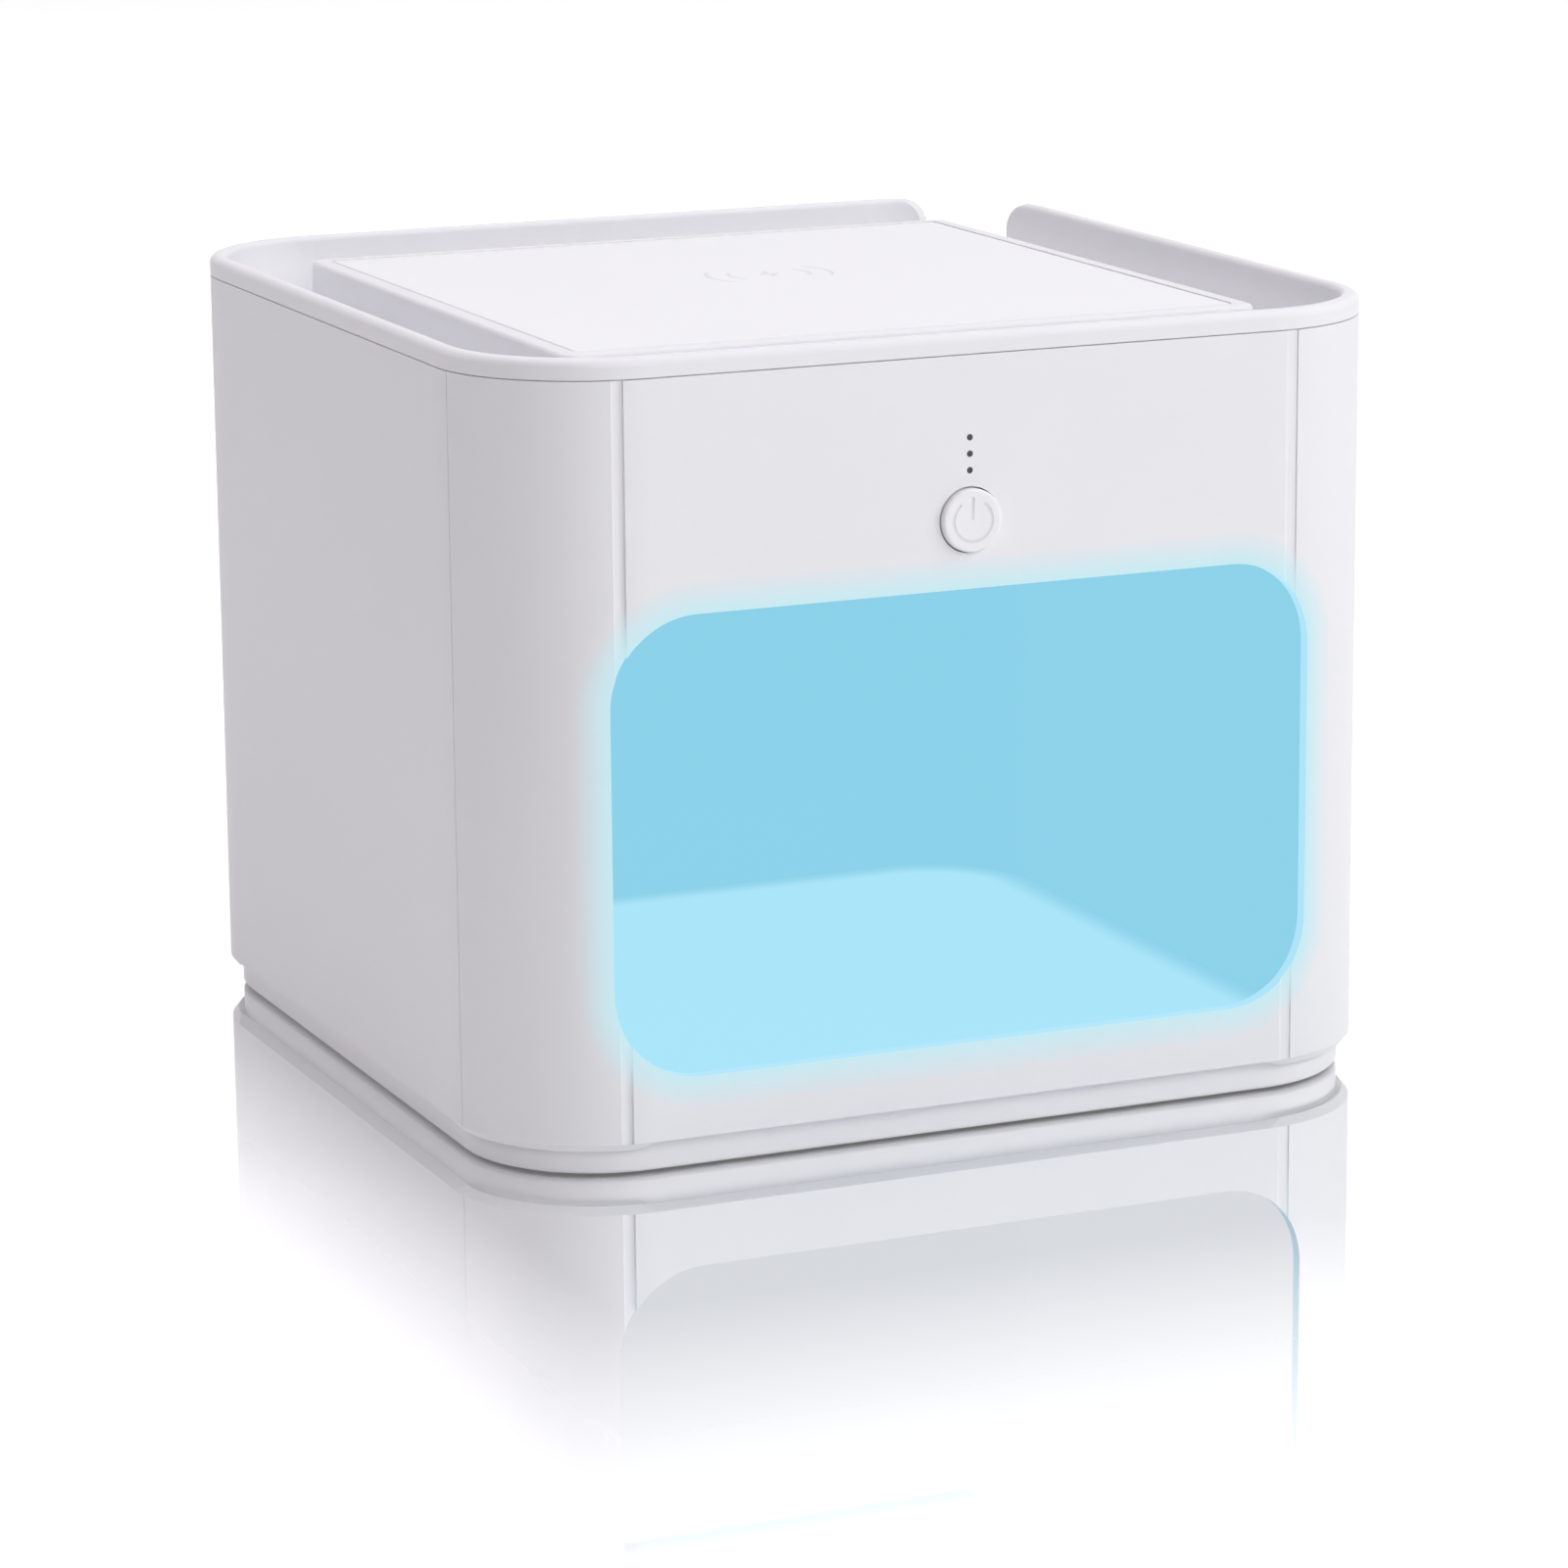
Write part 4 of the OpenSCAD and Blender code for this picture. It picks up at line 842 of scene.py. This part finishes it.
def makeArc(s, centre, radius, half, side):
    letGo()
    inner, outer = radius - s["line"] / 2, radius + s["line"] / 2
    bpy.ops.mesh.primitive_circle_add(vertices=s["sides"], radius=inner, fill_type="NOTHING",
                                      location=centre)
    arc = bpy.context.object
    bpy.ops.object.transform_apply(location=True, rotation=True, scale=True)
    bpy.ops.object.mode_set(mode="EDIT")
    bpy.ops.mesh.select_mode(type="VERT")
    bpy.ops.mesh.select_all(action="SELECT")
    bpy.ops.mesh.extrude_region_move()
    bpy.ops.transform.resize(value=(outer / inner, outer / inner, 1.0), center_override=centre)

    def outside(f):
        turn = math.atan2(f.center.y - centre.y, side * (f.center.x - centre.x))
        return abs(math.degrees(turn)) > half
    pickFaces(outside)
    bpy.ops.mesh.delete(type="FACE")
    bpy.ops.mesh.select_all(action="SELECT")
    bpy.ops.mesh.normals_make_consistent(inside=False)
    bpy.ops.object.mode_set(mode="OBJECT")
    return arc


def makeBolt(s, centre):
    letGo()
    bpy.ops.mesh.primitive_circle_add(vertices=len(s["bolt"]), radius=mm, fill_type="NGON",
                                      location=centre)
    bolt = bpy.context.object
    bpy.ops.object.transform_apply(location=True, rotation=True, scale=True)
    for corner, (x, y) in zip(bolt.data.vertices, s["bolt"]):
        corner.co = centre + Vector((x * mm, y * mm, 0.0))
    return bolt


def makeSign(s):
    centre = Vector((*s["centre"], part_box("charging_plate")[1].z - s["sunk"]))
    parts = [makeArc(s, centre, radius, half, side)
             for radius, half in s["arcs"] for side in (-1, 1)]
    parts.append(makeBolt(s, centre))
    letGo()
    for part in parts:
        part.select_set(True)
    bpy.context.view_layer.objects.active = parts[0]
    bpy.ops.object.join()
    piece = bpy.context.object
    piece.name = "charging_sign"
    for face in piece.data.polygons:
        if face.normal.z < 0:
            face.flip()
    thicken(piece, s["thick"])
    settle(piece, looks["sign"], "housing")
    print("charging sign made,", len(piece.data.polygons), "faces")


# the base: its lip goes up almost to the panels' lower edge

base = {
    "lipTop": 4.2 * mm,      # height of the lip's upper edge on the plain solid
    "inset": 2.8 * mm,       # from the body's outline to that edge
    "raise": 2.3 * mm,
    "half": 105.0 * mm,      # half the body's width and depth
    "middle": 0.8 * mm,      # the body's middle in depth, as the button stands out at the front
    "corner": 33.0 * mm,     # radius of its corners
    "closeUp": 0.02 * mm,    # how far from that edge, up and out, its corners may lie
    "closeOut": 0.05 * mm,
}


def onLip(spot, b):
    across = abs(spot.x) - (b["half"] - b["corner"])
    along = abs(spot.y - b["middle"]) - (b["half"] - b["corner"])
    away = math.hypot(max(across, 0.0), max(along, 0.0)) + min(max(across, along), 0.0)
    level = abs(spot.z - b["lipTop"]) < b["closeUp"]
    return level and abs(away - b["corner"] + b["inset"]) < b["closeOut"]


def makeBase(b):
    letGo()
    piece = bpy.data.objects.new("base_shell", nodes["base_tray"].data.copy())
    bpy.context.collection.objects.link(piece)
    takeUp(piece)
    bpy.ops.mesh.customdata_custom_splitnormals_clear()
    bpy.ops.object.mode_set(mode="EDIT")
    bpy.ops.mesh.select_mode(type="VERT")
    bpy.ops.mesh.select_all(action="SELECT")
    bpy.ops.mesh.remove_doubles(threshold=shaping["merge"])
    bpy.ops.mesh.select_all(action="DESELECT")
    bpy.ops.object.mode_set(mode="OBJECT")
    for corner in piece.data.vertices:
        corner.select = onLip(corner.co, b)
    print("lip corners", sum(c.select for c in piece.data.vertices))
    bpy.ops.object.mode_set(mode="EDIT")
    bpy.ops.transform.translate(value=(0.0, 0.0, b["raise"]))
    settle(piece, looks["housing"], "housing")
    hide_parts("base_tray")
    print("base made,", len(piece.data.polygons), "faces")


looks["sign"] = makePlain("signPrint", "plate", "sign")
makeButton(button)
makeSign(sign)
makeBase(base)


# the floor, pale and polished near the object, is white in the picture and plain for the light

floor = {
    "size": 9.0,
    "colour": (0.88, 0.88, 0.88, 1.0),
    "lift": 0.82,              # added for the camera, so that the lit floor is white
    "white": (1.0, 1.0, 1.0, 1.0),
    "mirror": 0.97,
    "roughness": 0.02,
    "fade": 0.43,              # distance over which the reflection fades
    "hold": 0.2,               # share of it where it is still whole
    "end": 0.87,               # share of it where nothing is left
    "lean": (0.38, 0.918),     # share of that distance to the side and to the front
    "start": (0.15, 0.0),      # how much of it has faded at the box already
}


def clearedTree(owner):
    owner.use_nodes = True
    owner.node_tree.nodes.clear()
    return owner.node_tree


def addFloor(f):
    letGo()
    bpy.ops.mesh.primitive_plane_add(size=f["size"], location=(0.0, 0.0, cadBox[0].z))
    made = bpy.context.object
    made.name = "floor"
    bpy.ops.object.transform_apply(location=True, rotation=True, scale=True)
    material = bpy.data.materials.new("paleFloor")
    tree = clearedTree(material)
    axes = axesOf(tree, tree.nodes.new("ShaderNodeTexCoord").outputs["Object"])
    rays = raysOf(tree)
    seen = calc(tree, "ADD", rays["Is Camera Ray"], rays["Is Transmission Ray"], clamp=True)
    plain = tree.nodes.new("ShaderNodeBsdfDiffuse")
    put(tree, f["colour"], plain.inputs["Color"])
    lift = tree.nodes.new("ShaderNodeEmission")
    put(tree, f["white"], lift.inputs["Color"])
    lifted = calc(tree, "ADD", seen, rays["Is Glossy Ray"], clamp=True)
    put(tree, calc(tree, "MULTIPLY", lifted, f["lift"]), lift.inputs["Strength"])
    pale = tree.nodes.new("ShaderNodeAddShader")
    put(tree, plain.outputs[0], pale.inputs[0])
    put(tree, lift.outputs[0], pale.inputs[1])
    polish = tree.nodes.new("ShaderNodeBsdfGlossy")
    put(tree, f["white"], polish.inputs["Color"])
    put(tree, f["roughness"], polish.inputs["Roughness"])
    strides = []
    for axis, lean, start, half in zip("XY", f["lean"], f["start"], cadBox[1]):
        past = calc(tree, "SUBTRACT", calc(tree, "ABSOLUTE", axes[axis]), half)
        strides.append(calc(tree, "ADD", calc(tree, "DIVIDE", past, lean * f["fade"]), start))
    farthest = calc(tree, "MAXIMUM", *strides)
    mask = ramp(tree, farthest, f["hold"], f["end"], f["mirror"], 0.0)
    shown = calc(tree, "MULTIPLY", mask, seen, clamp=True)
    out = tree.nodes.new("ShaderNodeOutputMaterial")
    put(tree, mixShaders(tree, shown, pale.outputs[0], polish.outputs[0]), out.inputs["Surface"])
    made.data.materials.append(material)


def backgroundOf(tree, colour, strength):
    node = tree.nodes.new("ShaderNodeBackground")
    put(tree, colour, node.inputs["Color"])
    put(tree, strength, node.inputs["Strength"])
    return node.outputs[0]


def lightRoom(r):
    world = bpy.data.worlds.new("studio")
    bpy.context.scene.world = world
    tree = clearedTree(world)
    rays = raysOf(tree)
    bounced = calc(tree, "ADD", rays["Is Glossy Ray"], rays["Is Transmission Ray"])
    seen = calc(tree, "ADD", rays["Is Camera Ray"], bounced, clamp=True)
    soft = backgroundOf(tree, r["ambient"], r["strength"])
    bright = backgroundOf(tree, r["white"], 1.0)
    out = tree.nodes.new("ShaderNodeOutputWorld")
    put(tree, mixShaders(tree, seen, soft, bright), out.inputs["Surface"])
    bpy.context.scene.view_settings.view_transform = "Standard"


addCamera(camera)
for lamp in lamps:
    addLamp(lamp)
addFloor(floor)
lightRoom(room)
print("studio set")
